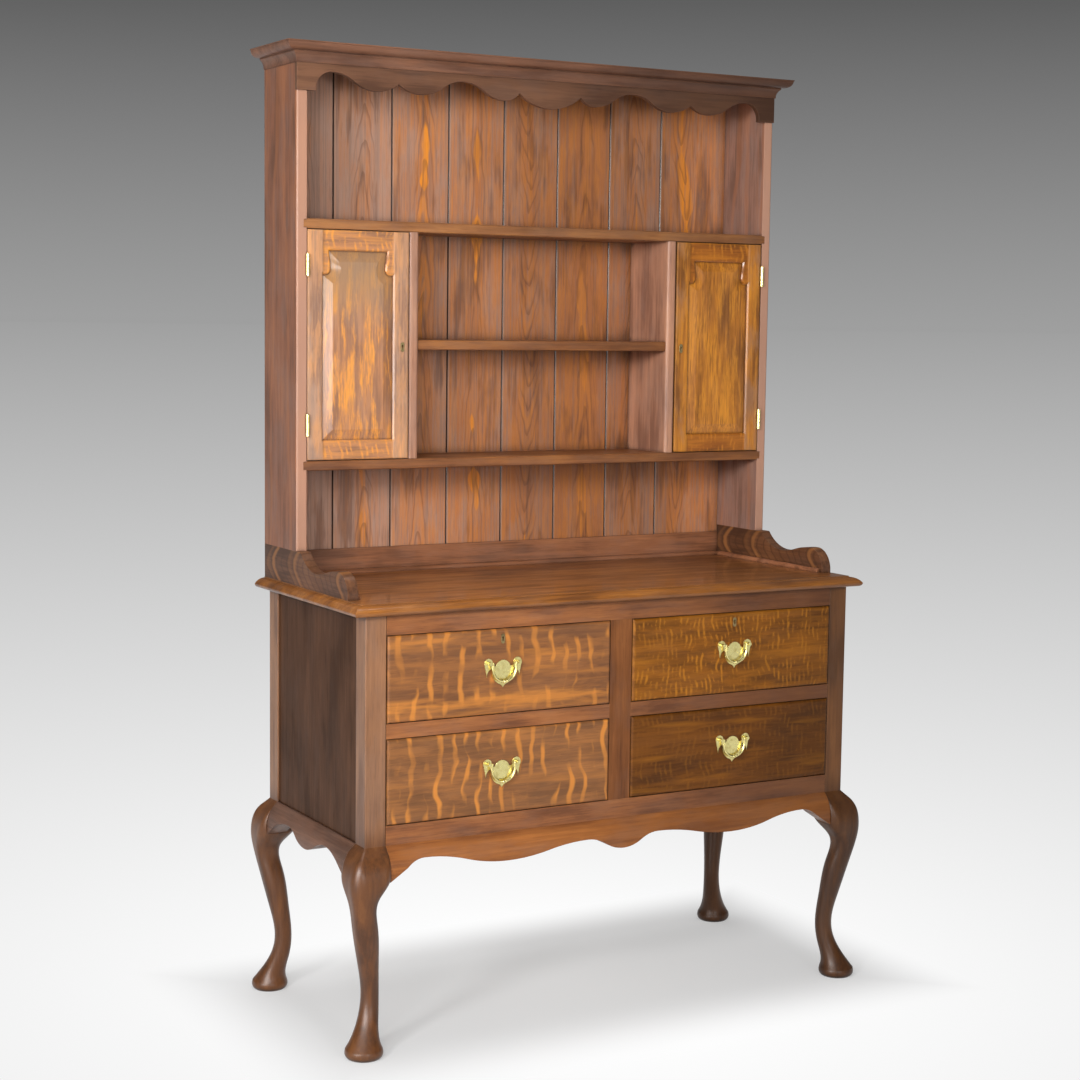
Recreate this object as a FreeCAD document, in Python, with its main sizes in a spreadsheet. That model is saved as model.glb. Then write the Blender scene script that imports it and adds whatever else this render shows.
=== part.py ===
import FreeCAD, Part
import os
import re
import Sketcher

# Welsh dresser in stained oak: a plate rack with two small cupboards stands on a base of four drawers
# with cabriole legs. Sizes are millimetres. The origin is on the floor under the middle of the base,
# and the front faces -Y.

SIZES = {
    # carcase of the base
    "carcase_width": 1160,
    "carcase_depth": 490,
    "shoulder_height": 420,
    "case_height": 457,
    "post_side": 45,
    "side_panel_thickness": 12,
    "side_panel_recess": 4,
    "rail_depth": 30,
    "top_rail_height": 40,
    "mid_rail_height": 30,
    "bottom_rail_height": 39,
    "lower_opening_height": 173,
    "muntin_width": 52,
    "base_back_thickness": 12,
    "base_board_pitch": 134,
    # cabriole legs
    "planing_allowance": 4,
    "knee_projection": 36,
    "shin_lean": 5,
    "ankle_inset": 22,
    "ankle_diameter": 36,
    "foot_diameter": 77,
    "foot_thickness": 18,
    "foot_undercut": 6,
    # scroll-sawn aprons, with depths measured down from the shoulder
    "apron_thickness": 20,
    "apron_swell": 24,
    "apron_round": 48,
    "ear_width": 38,
    "ear_depth": 68,
    "cusp_depth": 43,
    "arch_depth": 27,
    "front_arch_offset": 76,
    "front_lobe_depth": 54,
    "front_notch_offset": 85,
    "front_notch_depth": 33,
    "front_drop_depth": 59,
    "side_arch_offset": 105,
    "side_drop_depth": 54,
    # runners under the drawers
    "runner_width": 20,
    "guide_height": 18,
    # top board
    "top_thickness": 20,
    "top_overhang_side": 30,
    "top_overhang_front": 19,
    "top_overhang_back": 9,
    "top_step_height": 2,
    "thumbnail_width": 22,
    "thumbnail_drop": 12,
    "thumbnail_return": 8,
    # gallery on the top board
    "gallery_height": 71,
    "gallery_length": 430,
    "gallery_back_thickness": 15,
    "gallery_back_height": 54,
    "gallery_nose": 47,
    "gallery_nose_height": 52,
    "gallery_dip_height": 36,
    "gallery_sweep": 78,
    "gallery_ledge": 24,
    "bead_size": 9,
    # plate rack
    "rack_width": 1174,
    "rack_depth": 171,
    "rack_side_height": 1010,
    "rack_side_thickness": 23,
    "rack_edge_radius": 5,
    "housing_depth": 7,
    "back_board_thickness": 12,
    "back_board_rebate": 10,
    "back_board_pitch": 137,
    "back_board_first": 128,
    "joint_width": 4,
    "shelf_thickness": 21,
    "shelf_edge_radius": 3,
    "lower_shelf_rise": 165,
    "cupboard_height": 473,
    "middle_shelf_rise": 228,
    "middle_shelf_setback": 6,
    "middle_bay_width": 619,
    "divider_thickness": 23,
    "divider_edge_radius": 7,
    # frieze and cornice
    "frieze_thickness": 12,
    "frieze_proud": 3,
    "frieze_stop_width": 42,
    "frieze_stop_height": 95,
    "frieze_arch_height": 55,
    "frieze_end_arch_offset": 77,
    "frieze_lobe_height": 88,
    "frieze_cusp_height": 70,
    "frieze_centre_height": 99,
    "frieze_centre_half": 76,
    "frieze_small_lobe": 35,
    "frieze_swing": 98,
    "frieze_large_lobe": 53,
    "rack_top_thickness": 20,
    "cornice_height": 40,
    "cornice_projection": 32,
    "cornice_lip": 2.5,
    "cornice_lip_step": 1.5,
    "cornice_ovolo": 15,
    "cornice_step": 5,
    "cornice_fillet": 3,
    "cornice_foot_fillet": 2,
    # cupboard doors
    "door_gap": 1.2,
    "hinge_gap": 1.6,
    "door_thickness": 20,
    "stile_width": 35,
    "door_top_rail_height": 42,
    "door_bottom_rail_height": 40,
    "lug_width": 14,
    "lug_height": 49,
    "lug_nose_radius": 13,
    "lug_nose_inset": 5,
    "frame_chamfer": 3,
    "panel_setback": 7,
    "panel_tongue_thickness": 6,
    "panel_tongue_depth": 6,
    "panel_margin": 1,
    "panel_field_rise": 5,
    "panel_bevel_width": 22,
    # butt hinges
    "hinge_length": 45,
    "hinge_inset": 72,
    "hinge_proud": 4.3,
    "knuckle_radius": 3.8,
    "knuckle_gap": 0.3,
    "hinge_pin_radius": 1.5,
    "pin_clearance": 0.05,
    "leaf_thickness": 1.4,
    "leaf_stand": 0.5,
    "leaf_width": 15,
    # locks and keyholes
    "lock_width": 28,
    "lock_height": 44,
    "lock_depth": 8,
    "bolt_width": 6,
    "bolt_length": 18,
    "bolt_height": 16,
    "bolt_travel": 7,
    "bolt_clearance": 0.3,
    "keyhole_radius": 2,
    "keyhole_slot": 2.4,
    "keyhole_drop": 7,
    "keyhole_inset": 19,
    "key_plate_half_width": 4,
    "key_plate_half_length": 6,
    "key_plate_thickness": 1,
    # drawers
    "drawer_gap": 1.2,
    "drawer_rest_gap": 0.3,
    "drawer_front_thickness": 24,
    "drawer_front_proud": 4,
    "drawer_edge_radius": 6,
    "drawer_box_depth": 430,
    "drawer_side_thickness": 12,
    "drawer_side_drop": 12,
    "drawer_bottom_thickness": 7,
    "drawer_bottom_rise": 8,
    "drawer_groove": 5,
    # brass handles
    "handle_rise": 18,
    "plate_thickness": 2,
    "plate_foot": 50,
    "plate_foot_hollow": 14,
    "plate_toe": 10,
    "plate_toe_depth": 42,
    "plate_belly": 24,
    "plate_belly_depth": 17,
    "plate_belly_radius": 26,
    "plate_notch": 26,
    "plate_notch_depth": 11,
    "plate_notch_radius": 16,
    "wing_tip": 36,
    "wing_tip_depth": 30,
    "ear_radius": 9.5,
    "plate_saddle": 15.5,
    "plate_saddle_depth": 5,
    "plate_saddle_radius": 5,
    "plate_shoulder": 9.5,
    "plate_shoulder_rise": 2.5,
    "plate_shoulder_radius": 14,
    "plate_crown": 5.5,
    "plate_crown_radius": 17,
    "post_spacing": 66,
    "handle_post_radius": 3.6,
    "handle_post_length": 11,
    "bail_radius": 2.5,
    "bail_straight": 11,
    "bail_end_radius": 2.8,
    "bail_pin_radius": 1.6,
    "bail_standoff": 7,
    "bail_side_gap": 0.4,
    "bail_knop_radius": 3.7,
    "bail_bead_radius": 3.1,
    "bail_bead_spacing": 5.5,
}

doc = FreeCAD.newDocument("welsh_dresser")
sheet = doc.addObject("Spreadsheet::Sheet", "sizes")
for row, (size_name, size_value) in enumerate(SIZES.items(), start=1):
    sheet.set(f"A{row}", size_name)
    sheet.set(f"B{row}", str(size_value))
    sheet.setAlias(f"B{row}", size_name)
doc.recompute()

subparts = []


def expression(text):
    """The sheet's expression for a formula that is written with the plain names of sizes."""
    return re.sub(r"[a-z_]+", lambda word: f"sizes.{word[0]}" if word[0] in SIZES else word[0], text)


def value(text):
    """What a formula of sizes comes to."""
    return sheet.evalExpression(expression(text))


def subpart(label, piece):
    """Marks a piece of the dresser, which is written under its label."""
    piece.Label = label
    subparts.append(piece)
    return piece


def box(name, x, y, z):
    """A plain board between a low and a high plane along each axis."""
    board = doc.addObject("Part::Box", name)
    for side, axis, (low, high) in (("Length", "x", x), ("Width", "y", y), ("Height", "z", z)):
        board.setExpression(side, expression(f"({high}) - ({low})"))
        board.setExpression(f"Placement.Base.{axis}", expression(low))
    return board


def cylinder(name, radius, length, start, along):
    """A round bar that starts at a point and runs along a unit direction."""
    bar = doc.addObject("Part::Cylinder", name)
    bar.Placement.Rotation = FreeCAD.Rotation(FreeCAD.Vector(0, 0, 1), FreeCAD.Vector(*along))
    bar.setExpression("Radius", expression(radius))
    bar.setExpression("Height", expression(length))
    for axis, place in zip("xyz", start):
        bar.setExpression(f"Placement.Base.{axis}", expression(place))
    return bar


def fuse(name, *pieces):
    """One solid of several that overlap or meet."""
    joined = doc.addObject("Part::MultiFuse", name)
    joined.Shapes = list(pieces)
    return joined


def cut(name, base, *tools):
    """A piece with housings, mortises or bores taken out of it, one after the other."""
    for tool in tools:
        step = doc.addObject("Part::Cut", f"{name}_cut")
        step.Base = base
        step.Tool = tool
        base = step
    return base


def common(name, base, tool):
    """What two shapes share."""
    shared = doc.addObject("Part::Common", name)
    shared.Base = base
    shared.Tool = tool
    return shared


def group(name, *pieces):
    """Like pieces kept together as separate solids."""
    together = doc.addObject("Part::Compound", name)
    together.Links = list(pieces)
    return together


def mirrored(name, source, normal=(1, 0, 0)):
    """The same piece for the other side."""
    twin = doc.addObject("Part::Mirroring", name)
    twin.Source = source
    twin.Normal = FreeCAD.Vector(*normal)
    return twin


def arc_between(first, last, turn, radius):
    """The smaller arc between two points, with its centre on the left of the way for a turn of 1."""
    way = last.sub(first)
    left = FreeCAD.Vector(-way.y, way.x, 0).normalize()
    reach = max(radius ** 2 - (way.Length / 2) ** 2, 0) ** 0.5
    centre = (first + last) * 0.5 + left * (turn * reach)
    start, end = (first, last) if turn > 0 else (last, first)
    circle = Part.Circle(centre, FreeCAD.Vector(0, 0, 1), radius)
    return Part.ArcOfCircle(circle, circle.parameter(start), circle.parameter(end))


def draw(sketch, outline):
    """Draws a closed outline of (across, up, bend) corners and ties every corner and radius to the sizes.

    The bend says how a corner is joined to the next: None for a straight edge, or a turn and a radius.
    """
    points = [FreeCAD.Vector(value(across), value(up), 0) for across, up, bend in outline]
    edges = []
    ends = []
    for (across, up, bend), first, last in zip(outline, points, points[1:] + points[:1]):
        if bend is None:
            edges.append(Part.LineSegment(first, last))
            ends.append((1, 2))
        else:
            turn, radius = bend
            edges.append(arc_between(first, last, turn, value(radius)))
            ends.append((1, 2) if turn > 0 else (2, 1))
    sketch.addGeometry(edges, False)
    rules = []
    formulas = []
    for i, (across, up, bend) in enumerate(outline):
        following = (i + 1) % len(outline)
        rules.append(Sketcher.Constraint("Coincident", i, ends[i][1], following, ends[following][0]))
        formulas.append(None)
        rules.append(Sketcher.Constraint("DistanceX", -1, 1, i, ends[i][0], points[i].x))
        formulas.append(across)
        rules.append(Sketcher.Constraint("DistanceY", -1, 1, i, ends[i][0], points[i].y))
        formulas.append(up)
        if bend is not None:
            rules.append(Sketcher.Constraint("Radius", i, value(bend[1])))
            formulas.append(bend[1])
    sketch.addConstraint(rules)
    for i, formula in enumerate(formulas):
        if formula is not None:
            sketch.setExpression(f"Constraints[{i}]", expression(formula))


def new_sketch(body, plane, start):
    """A sketch on one of the body's planes, moved along the plane's normal."""
    sketch = body.newObject("Sketcher::SketchObject", f"{body.Name}_outline")
    support = next(feature for feature in body.Origin.OriginFeatures if feature.Role == plane)
    sketch.AttachmentSupport = [(support, "")]
    sketch.MapMode = "FlatFace"
    sketch.setExpression("AttachmentOffset.Base.z", expression(start))
    return sketch


def board(name, plane, outline, low, high):
    """A board sawn to an outline, between two planes square to the outline.

    The outline is seen from the front on XZ, from the right on YZ and from above on XY.
    """
    body = doc.addObject("PartDesign::Body", name)
    start = f"-({high})" if plane == "XZ_Plane" else low
    sketch = new_sketch(body, plane, start)
    draw(sketch, outline)
    pad = body.newObject("PartDesign::Pad", f"{name}_pad")
    pad.Profile = sketch
    pad.setExpression("Length", expression(f"({high}) - ({low})"))
    return body


def rounded(body, radius, picked):
    """Rounds those edges of a board whose middle passes a test."""
    doc.recompute()
    solid = body.Tip
    edges = [f"Edge{n}" for n, edge in enumerate(solid.Shape.Edges, 1) if picked(edge.CenterOfMass)]
    fillet = body.newObject("PartDesign::Fillet", f"{body.Name}_round")
    fillet.Base = (solid, edges)
    fillet.setExpression("Radius", expression(radius))
    return body


def rectangle(across, up):
    """Outline of a rectangle between two pairs of lines."""
    (left, right), (low, high) = across, up
    return [(left, low, None), (right, low, None), (right, high, None), (left, high, None)]


def rounded_square(across, up, half, corner):
    """Outline of a square about a middle, with round corners."""
    flat = f"({half}) - ({corner})"
    bend = (1, corner)
    return [
        (f"({across}) - ({flat})", f"({up}) - ({half})", None),
        (f"({across}) + ({flat})", f"({up}) - ({half})", bend),
        (f"({across}) + ({half})", f"({up}) - ({flat})", None),
        (f"({across}) + ({half})", f"({up}) + ({flat})", bend),
        (f"({across}) + ({flat})", f"({up}) + ({half})", None),
        (f"({across}) - ({flat})", f"({up}) + ({half})", bend),
        (f"({across}) - ({half})", f"({up}) + ({flat})", None),
        (f"({across}) - ({half})", f"({up}) - ({flat})", bend),
    ]


def level_arc(across, up):
    """Radius of an arc that leaves level and ends a given way across and up."""
    return f"((({across})^2 + ({up})^2) / (2*abs({up})))"


def scroll(stations):
    """Scroll-sawn line through (across, up, kind) stations, without the last.

    The line is level at a crest and sharp at a cusp. Two crests are joined by two equal arcs, a crest
    and a cusp by one, and two cusps by a straight line.
    """
    corners = []
    for (left, low, kind), (right, high, next_kind) in zip(stations, stations[1:]):
        across = f"(({right}) - ({left}))"
        up = f"(({high}) - ({low}))"
        turn = 1 if value(across) * value(up) > 0 else -1
        if kind == "cusp" and next_kind == "cusp":
            corners.append((left, low, None))
        elif kind == next_kind:
            radius = level_arc(f"{across}/2", f"{up}/2")
            corners.append((left, low, (turn, radius)))
            corners.append((f"(({left}) + ({right}))/2", f"(({low}) + ({high}))/2", (-turn, radius)))
        else:
            turn = turn if kind == "crest" else -turn
            corners.append((left, low, (turn, level_arc(across, up))))
    return corners


def both_ways(half_line):
    """A line about the middle, from its right half, which starts on the middle."""
    left_half = [(f"-({across})", up, kind) for across, up, kind in reversed(half_line[1:])]
    return left_half + half_line


# Planes that several pieces share

half_width = "(carcase_width/2)"
half_depth = "(carcase_depth/2)"
post_in = f"({half_width} - post_side)"
post_in_depth = f"({half_depth} - post_side)"
rail_back = f"(rail_depth - {half_depth})"
case_top = "(shoulder_height + case_height)"
bottom_rail_top = "(shoulder_height + bottom_rail_height)"
lower_opening_top = f"({bottom_rail_top} + lower_opening_height)"
mid_rail_top = f"({lower_opening_top} + mid_rail_height)"
upper_opening_top = f"({case_top} - top_rail_height)"
half_muntin = "(muntin_width/2)"
panel_in = f"({half_width} - side_panel_recess - side_panel_thickness)"
base_back_front = f"({half_depth} - base_back_thickness)"
worktop = f"({case_top} + top_thickness + top_step_height)"
rack_back = f"({half_depth} + top_overhang_back)"
rack_front = f"({rack_back} - rack_depth)"
frieze_front = f"({rack_front} - frieze_proud)"
frieze_back = f"({frieze_front} + frieze_thickness)"
half_rack = "(rack_width/2)"
rack_in = f"({half_rack} - rack_side_thickness)"
gallery_top = f"({worktop} + gallery_height)"
gallery_back_top = f"({worktop} + gallery_back_height)"
rack_side_top = f"({gallery_top} + rack_side_height)"
rack_height = f"({rack_side_top} + rack_top_thickness)"
boards_front = f"({rack_back} - back_board_thickness)"
lower_shelf_bottom = f"({gallery_top} + lower_shelf_rise)"
lower_shelf_top = f"({lower_shelf_bottom} + shelf_thickness)"
top_shelf_bottom = f"({lower_shelf_top} + cupboard_height)"
half_bay = "(middle_bay_width/2)"
divider_out = f"({half_bay} + divider_thickness)"


# Cabriole legs: the square post of the carcase, a knee block, a tapering shin and a pad foot. Each row of
# the pattern is a section: its height as a share of the leg, where its middle stands between two named
# places, its half width between two named sizes, and how round its corners are.

KNEE = ((0.955, 0.52, 0.25), (0.905, 0.86, 0.42), (0.855, 1.0, 0.55))
SHIN = ((0.757, 1.0, 1.55, 0.70), (0.626, 0.74, 1.36, 0.85), (0.438, 0.25, 1.16, 0.95), (0.267, 0.0, 1.0, 0.96))
FOOT = ((0.186, 0.22, 0.10), (0.102, 0.72, 0.40))


def leg(name):
    """The front left leg, with a planing allowance on the two faces that meet the aprons."""
    body = doc.addObject("PartDesign::Body", name)
    sections = []

    def section(height, middle, half, corner):
        sketch = new_sketch(body, "XY_Plane", height)
        draw(sketch, rounded_square(f"-({half_width} + {middle})", f"-({half_depth} + {middle})", half, corner))
        sections.append(sketch)

    blank_half = "((post_side + planing_allowance)/2)"
    section("shoulder_height", f"(-{blank_half})", blank_half, "(post_side/20)")
    for height, share, corner in KNEE:
        half = f"((post_side + planing_allowance + {share}*knee_projection)/2)"
        middle = f"({half} - post_side - planing_allowance)"
        section(f"{height}*shoulder_height", middle, half, f"({corner}*{half})")
    for height, lean, taper, corner in SHIN:
        half = f"({taper}*ankle_diameter/2)"
        middle = f"({lean}*(shin_lean + ankle_inset) - ankle_inset)"
        section(f"{height}*shoulder_height", middle, half, f"({corner}*{half})")
    for height, share, flare in FOOT:
        half = f"((ankle_diameter + {flare}*(foot_diameter - ankle_diameter))/2)"
        section(f"{height}*shoulder_height", f"(({share} - 1)*ankle_inset)", half, f"(0.96*{half})")
    foot_half = "(foot_diameter/2 - foot_undercut/4)"
    section("foot_thickness", "0", foot_half, f"(0.96*{foot_half})")
    loft = body.newObject("PartDesign::AdditiveLoft", f"{name}_loft")
    loft.Profile = sections[0]
    loft.Sections = sections[1:]

    post_sketch = new_sketch(body, "XY_Plane", "shoulder_height")
    middle = "(-post_side/2)"
    draw(post_sketch, rounded_square(f"-({half_width} + {middle})", f"-({half_depth} + {middle})",
                                     "(post_side/2)", "(post_side/20)"))
    post = body.newObject("PartDesign::Pad", f"{name}_post")
    post.Profile = post_sketch
    post.setExpression("Length", expression("case_height"))
    return body


def pad_foot(name):
    """The turned pad under the front left leg, with a bulging rim."""
    rim = "(foot_diameter/2)"
    sole = f"({rim} - foot_undercut)"
    crown = f"({rim} - foot_undercut/4)"
    belly = "(0.6*foot_thickness)"
    under = level_arc(belly, "foot_undercut")
    over = level_arc(f"(foot_thickness - {belly})", "(foot_undercut/4)")
    axis = f"-{half_width}"
    body = doc.addObject("PartDesign::Body", name)
    sketch = new_sketch(body, "XZ_Plane", half_depth)
    draw(sketch, [
        (axis, "0", None),
        (f"{axis} + {sole}", "0", (1, under)),
        (f"{axis} + {rim}", belly, (1, over)),
        (f"{axis} + {crown}", "foot_thickness", None),
        (axis, "foot_thickness", None),
    ])
    turned = body.newObject("PartDesign::Revolution", f"{name}_turned")
    turned.Profile = sketch
    edge_on_axis = len(sketch.Geometry) - 1
    sketch.addGeometry(Part.LineSegment(FreeCAD.Vector(value(axis), 0, 0),
                                        FreeCAD.Vector(value(axis), value("foot_thickness"), 0)), True)
    sketch.addConstraint([
        Sketcher.Constraint("Coincident", len(sketch.Geometry) - 1, 1, edge_on_axis, 2),
        Sketcher.Constraint("Coincident", len(sketch.Geometry) - 1, 2, edge_on_axis, 1),
    ])
    turned.ReferenceAxis = (sketch, ["Axis0"])
    turned.Angle = 360
    return body


leg_reach = "2*post_side"
front_left_leg = cut(
    "leg_front_left",
    fuse("leg_carved", leg("leg_blank"), pad_foot("leg_pad")),
    box("leg_side_trim", (f"-{post_in}", f"-{post_in} + {leg_reach}"),
        (f"-{half_depth} - {leg_reach}", f"-{half_depth} + {leg_reach}"), ("0", "shoulder_height")),
    box("leg_back_trim", (f"-{half_width} - {leg_reach}", f"-{half_width} + {leg_reach}"),
        (f"-{post_in_depth}", f"-{post_in_depth} + {leg_reach}"), ("0", "shoulder_height")),
)
front_right_leg = mirrored("leg_front_right", front_left_leg)
subpart("leg_front_left", front_left_leg)
subpart("leg_front_right", front_right_leg)
subpart("leg_back_left", mirrored("leg_back_left", front_left_leg, (0, 1, 0)))
subpart("leg_back_right", mirrored("leg_back_right", front_right_leg, (0, 1, 0)))

# Side panels, set back a little between the posts

left_panel = box(
    "side_panel_left",
    (f"side_panel_recess - {half_width}", f"-{panel_in}"),
    (f"-{post_in_depth}", post_in_depth),
    ("shoulder_height", case_top),
)
subpart("side_panels", group("side_panels", left_panel, mirrored("side_panel_right", left_panel)))

# Front frame of rails and a muntin round the four drawers

rail_run = (f"-{half_depth}", rail_back)
front_top_rail = box("front_top_rail_blank", (f"-{post_in}", post_in), rail_run, (upper_opening_top, case_top))
left_drawer_rail = box("drawer_rail_left", (f"-{post_in}", f"-{half_muntin}"), rail_run,
                       (lower_opening_top, mid_rail_top))
subpart("drawer_rails", group("drawer_rails", left_drawer_rail, mirrored("drawer_rail_right", left_drawer_rail)))
subpart("centre_muntin", box("centre_muntin", (f"-{half_muntin}", half_muntin), rail_run,
                             (bottom_rail_top, upper_opening_top)))
subpart("bottom_rail", box("bottom_rail", (f"-{post_in}", post_in), rail_run,
                           ("shoulder_height", bottom_rail_top)))

# Aprons: boards that swell out below the shoulder and are scroll-sawn along their lower edge


def apron_section(face):
    """Section of an apron, across and up: flush with the carcase at the shoulder, then swelling out."""
    swollen = f"({face} - apron_swell)"
    inner = f"({face} + apron_thickness)"
    foot = "(shoulder_height - ear_depth - apron_round)"
    knee = "(shoulder_height - apron_round)"
    return [
        (inner, "shoulder_height", None),
        (face, "shoulder_height", (1, level_arc("apron_round", "apron_swell"))),
        (swollen, knee, None),
        (swollen, foot, None),
        (inner, foot, None),
    ]


def sawn_edge(half_line, end):
    """Region above a scroll-sawn line, up to the shoulder."""
    line = both_ways(half_line)
    return scroll(line) + [
        (line[-1][0], line[-1][1], None),
        (end, "shoulder_height", None),
        (f"-({end})", "shoulder_height", None),
    ]


def below(depth):
    """Height of a point of an apron's edge."""
    return f"(shoulder_height - {depth})"


front_arch = f"({post_in} - front_arch_offset)"
front_edge = [
    ("0", below("front_drop_depth"), "crest"),
    ("front_notch_offset", below("front_notch_depth"), "crest"),
    (f"(({front_arch} + front_notch_offset)/2)", below("front_lobe_depth"), "crest"),
    (front_arch, below("arch_depth"), "crest"),
    (f"({post_in} - ear_width)", below("cusp_depth"), "cusp"),
    (post_in, below("ear_depth"), "crest_end"),
]
side_arch = f"({post_in_depth} - side_arch_offset)"
side_edge = [
    ("0", below("side_drop_depth"), "crest"),
    (side_arch, below("arch_depth"), "crest"),
    (f"({post_in_depth} - ear_width)", below("cusp_depth"), "cusp"),
    (post_in_depth, below("ear_depth"), "crest_end"),
]


def with_ears(half_line):
    """The edge with its last stretch, the ear beside the leg, as a hollow arc that leaves the cusp level."""
    return [(across, up, "cusp" if kind == "crest_end" else kind) for across, up, kind in half_line]


front_apron = common(
    "front_apron",
    board("front_apron_swell", "YZ_Plane", apron_section(f"-{half_depth}"), f"-{post_in}", post_in),
    board("front_apron_edge", "XZ_Plane", sawn_edge(with_ears(front_edge), post_in),
          f"-({half_depth} + apron_swell)", f"apron_thickness - {half_depth}"),
)
subpart("front_apron", front_apron)
left_apron = common(
    "side_apron_left",
    board("side_apron_swell", "XZ_Plane", apron_section(f"-{half_width}"), f"-{post_in_depth}", post_in_depth),
    board("side_apron_edge", "YZ_Plane", sawn_edge(with_ears(side_edge), post_in_depth),
          f"-({half_width} + apron_swell)", f"apron_thickness - {half_width}"),
)
subpart("side_apron_left", left_apron)
subpart("side_apron_right", mirrored("side_apron_right", left_apron))

# Back of the base: two rails between the posts and upright boards between the rails


def upright_boards(name, joints, ends, depth, heights):
    """Upright boards side by side, with a V joint worked on the front of each meeting edge."""
    (left, right), (front, rear), (low, high) = ends, depth, heights
    edges = [left] + joints + [right]
    bevel = "(joint_width/2)"
    boards = []
    for n, (start, end) in enumerate(zip(edges, edges[1:])):
        start_bevel = bevel if n > 0 else "0"
        end_bevel = bevel if n < len(joints) else "0"
        outline = []
        if n > 0:
            outline.append((start, f"({front}) + {start_bevel}", None))
        outline.append((f"({start}) + {start_bevel}", front, None))
        outline.append((f"({end}) - {end_bevel}", front, None))
        if n < len(joints):
            outline.append((end, f"({front}) + {end_bevel}", None))
        outline.append((end, rear, None))
        outline.append((start, rear, None))
        boards.append(board(f"{name}_{n + 1}", "XY_Plane", outline, low, high))
    return boards


base_joint_count = 7
base_joints = [f"({n - (base_joint_count - 1) / 2}*base_board_pitch)" for n in range(base_joint_count)]
base_boards = upright_boards(
    "base_back_board",
    base_joints,
    (f"-{post_in}", post_in),
    (base_back_front, half_depth),
    (bottom_rail_top, upper_opening_top),
)
back_rail_front = f"({half_depth} - rail_depth)"
back_rail_run = (back_rail_front, half_depth)
lower_back_rail = box("back_rail_lower", (f"-{post_in}", post_in), back_rail_run,
                      ("shoulder_height", bottom_rail_top))
upper_back_rail = box("back_rail_upper", (f"-{post_in}", post_in), back_rail_run, (upper_opening_top, case_top))
subpart("base_back", group("base_back", lower_back_rail, upper_back_rail, *base_boards))

# Drawer runners with guides beside the drawers, and kickers that keep the upper drawers level

runner_in = f"({post_in} - runner_width)"
side_run = (f"-{post_in_depth}", post_in_depth)
runners = []
for level, runner_top, rear in (
    ("lower", bottom_rail_top, back_rail_front),
    ("upper", mid_rail_top, base_back_front),
):
    full_run = (rail_back, rear)
    runner_bottom = f"{runner_top} - mid_rail_height"
    guide_top = f"{runner_top} + guide_height"
    left_runner = fuse(
        f"runner_{level}_left",
        box(f"runner_{level}_bearer", (f"-{post_in}", f"-{runner_in}"), full_run, (runner_bottom, runner_top)),
        box(f"runner_{level}_guide", (f"-{panel_in}", f"-{post_in}"), side_run, (runner_bottom, guide_top)),
    )
    centre_runner = fuse(
        f"runner_{level}_centre",
        box(f"runner_{level}_middle", (f"-({half_muntin} + runner_width)", f"{half_muntin} + runner_width"),
            full_run, (runner_bottom, runner_top)),
        box(f"runner_{level}_middle_guide", (f"-{half_muntin}", half_muntin), full_run, (runner_top, guide_top)),
    )
    runners += [left_runner, mirrored(f"runner_{level}_right", left_runner), centre_runner]
kicker_heights = (upper_opening_top, case_top)
left_kicker = box("kicker_left", (f"-{post_in}", f"-{runner_in}"), (rail_back, back_rail_front), kicker_heights)
centre_kicker = box("kicker_centre", (f"-({half_muntin} + runner_width)", f"{half_muntin} + runner_width"),
                    (rail_back, back_rail_front), kicker_heights)
runners += [left_kicker, mirrored("kicker_right", left_kicker), centre_kicker]
subpart("drawer_runners", group("drawer_runners", *runners))

# Top board with a thumbnail edge, stepped down from the field, on the front and both ends

top_side = f"({half_width} + top_overhang_side)"
top_front = f"({half_depth} + top_overhang_front)"
field_side = f"({top_side} - thumbnail_width)"
field_front = f"({top_front} - thumbnail_width)"


def thumbnail_section(face):
    """Section of the moulded edge, across and up, standing out from the field towards lower values."""
    head = f"({case_top} + top_thickness)"
    nose = f"({head} - thumbnail_drop)"
    return [
        (face, head, (1, level_arc("thumbnail_width", "thumbnail_drop"))),
        (f"{face} - thumbnail_width", nose, (1, level_arc("thumbnail_return", f"({nose} - {case_top})"))),
        (f"{face} - thumbnail_width + thumbnail_return", case_top, None),
        (face, case_top, None),
    ]


top_field = box("top_board_field", (f"-{field_side}", field_side), (f"-{field_front}", rack_back),
                (case_top, worktop))
front_edge_mitre = board("top_front_mitre", "XY_Plane", [
    (f"-{field_side}", f"-{field_front}", None),
    (f"-{top_side}", f"-{top_front}", None),
    (top_side, f"-{top_front}", None),
    (field_side, f"-{field_front}", None),
], case_top, worktop)
end_edge_mitre = board("top_end_mitre", "XY_Plane", [
    (f"-{field_side}", f"-{field_front}", None),
    (f"-{field_side}", rack_back, None),
    (f"-{top_side}", rack_back, None),
    (f"-{top_side}", f"-{top_front}", None),
], case_top, worktop)
front_edge = common(
    "top_front_edge",
    board("top_front_run", "YZ_Plane", thumbnail_section(f"-{field_front}"), f"-{top_side}", top_side),
    front_edge_mitre,
)
left_edge = common(
    "top_left_edge",
    board("top_left_run", "XZ_Plane", thumbnail_section(f"-{field_side}"), f"-{top_front}", rack_back),
    end_edge_mitre,
)
subpart("top_board", fuse("top_board", top_field, front_edge, left_edge, mirrored("top_right_edge", left_edge)))

# Gallery: scrolled sides under the rack, a back board between them and a small quadrant bead

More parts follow.
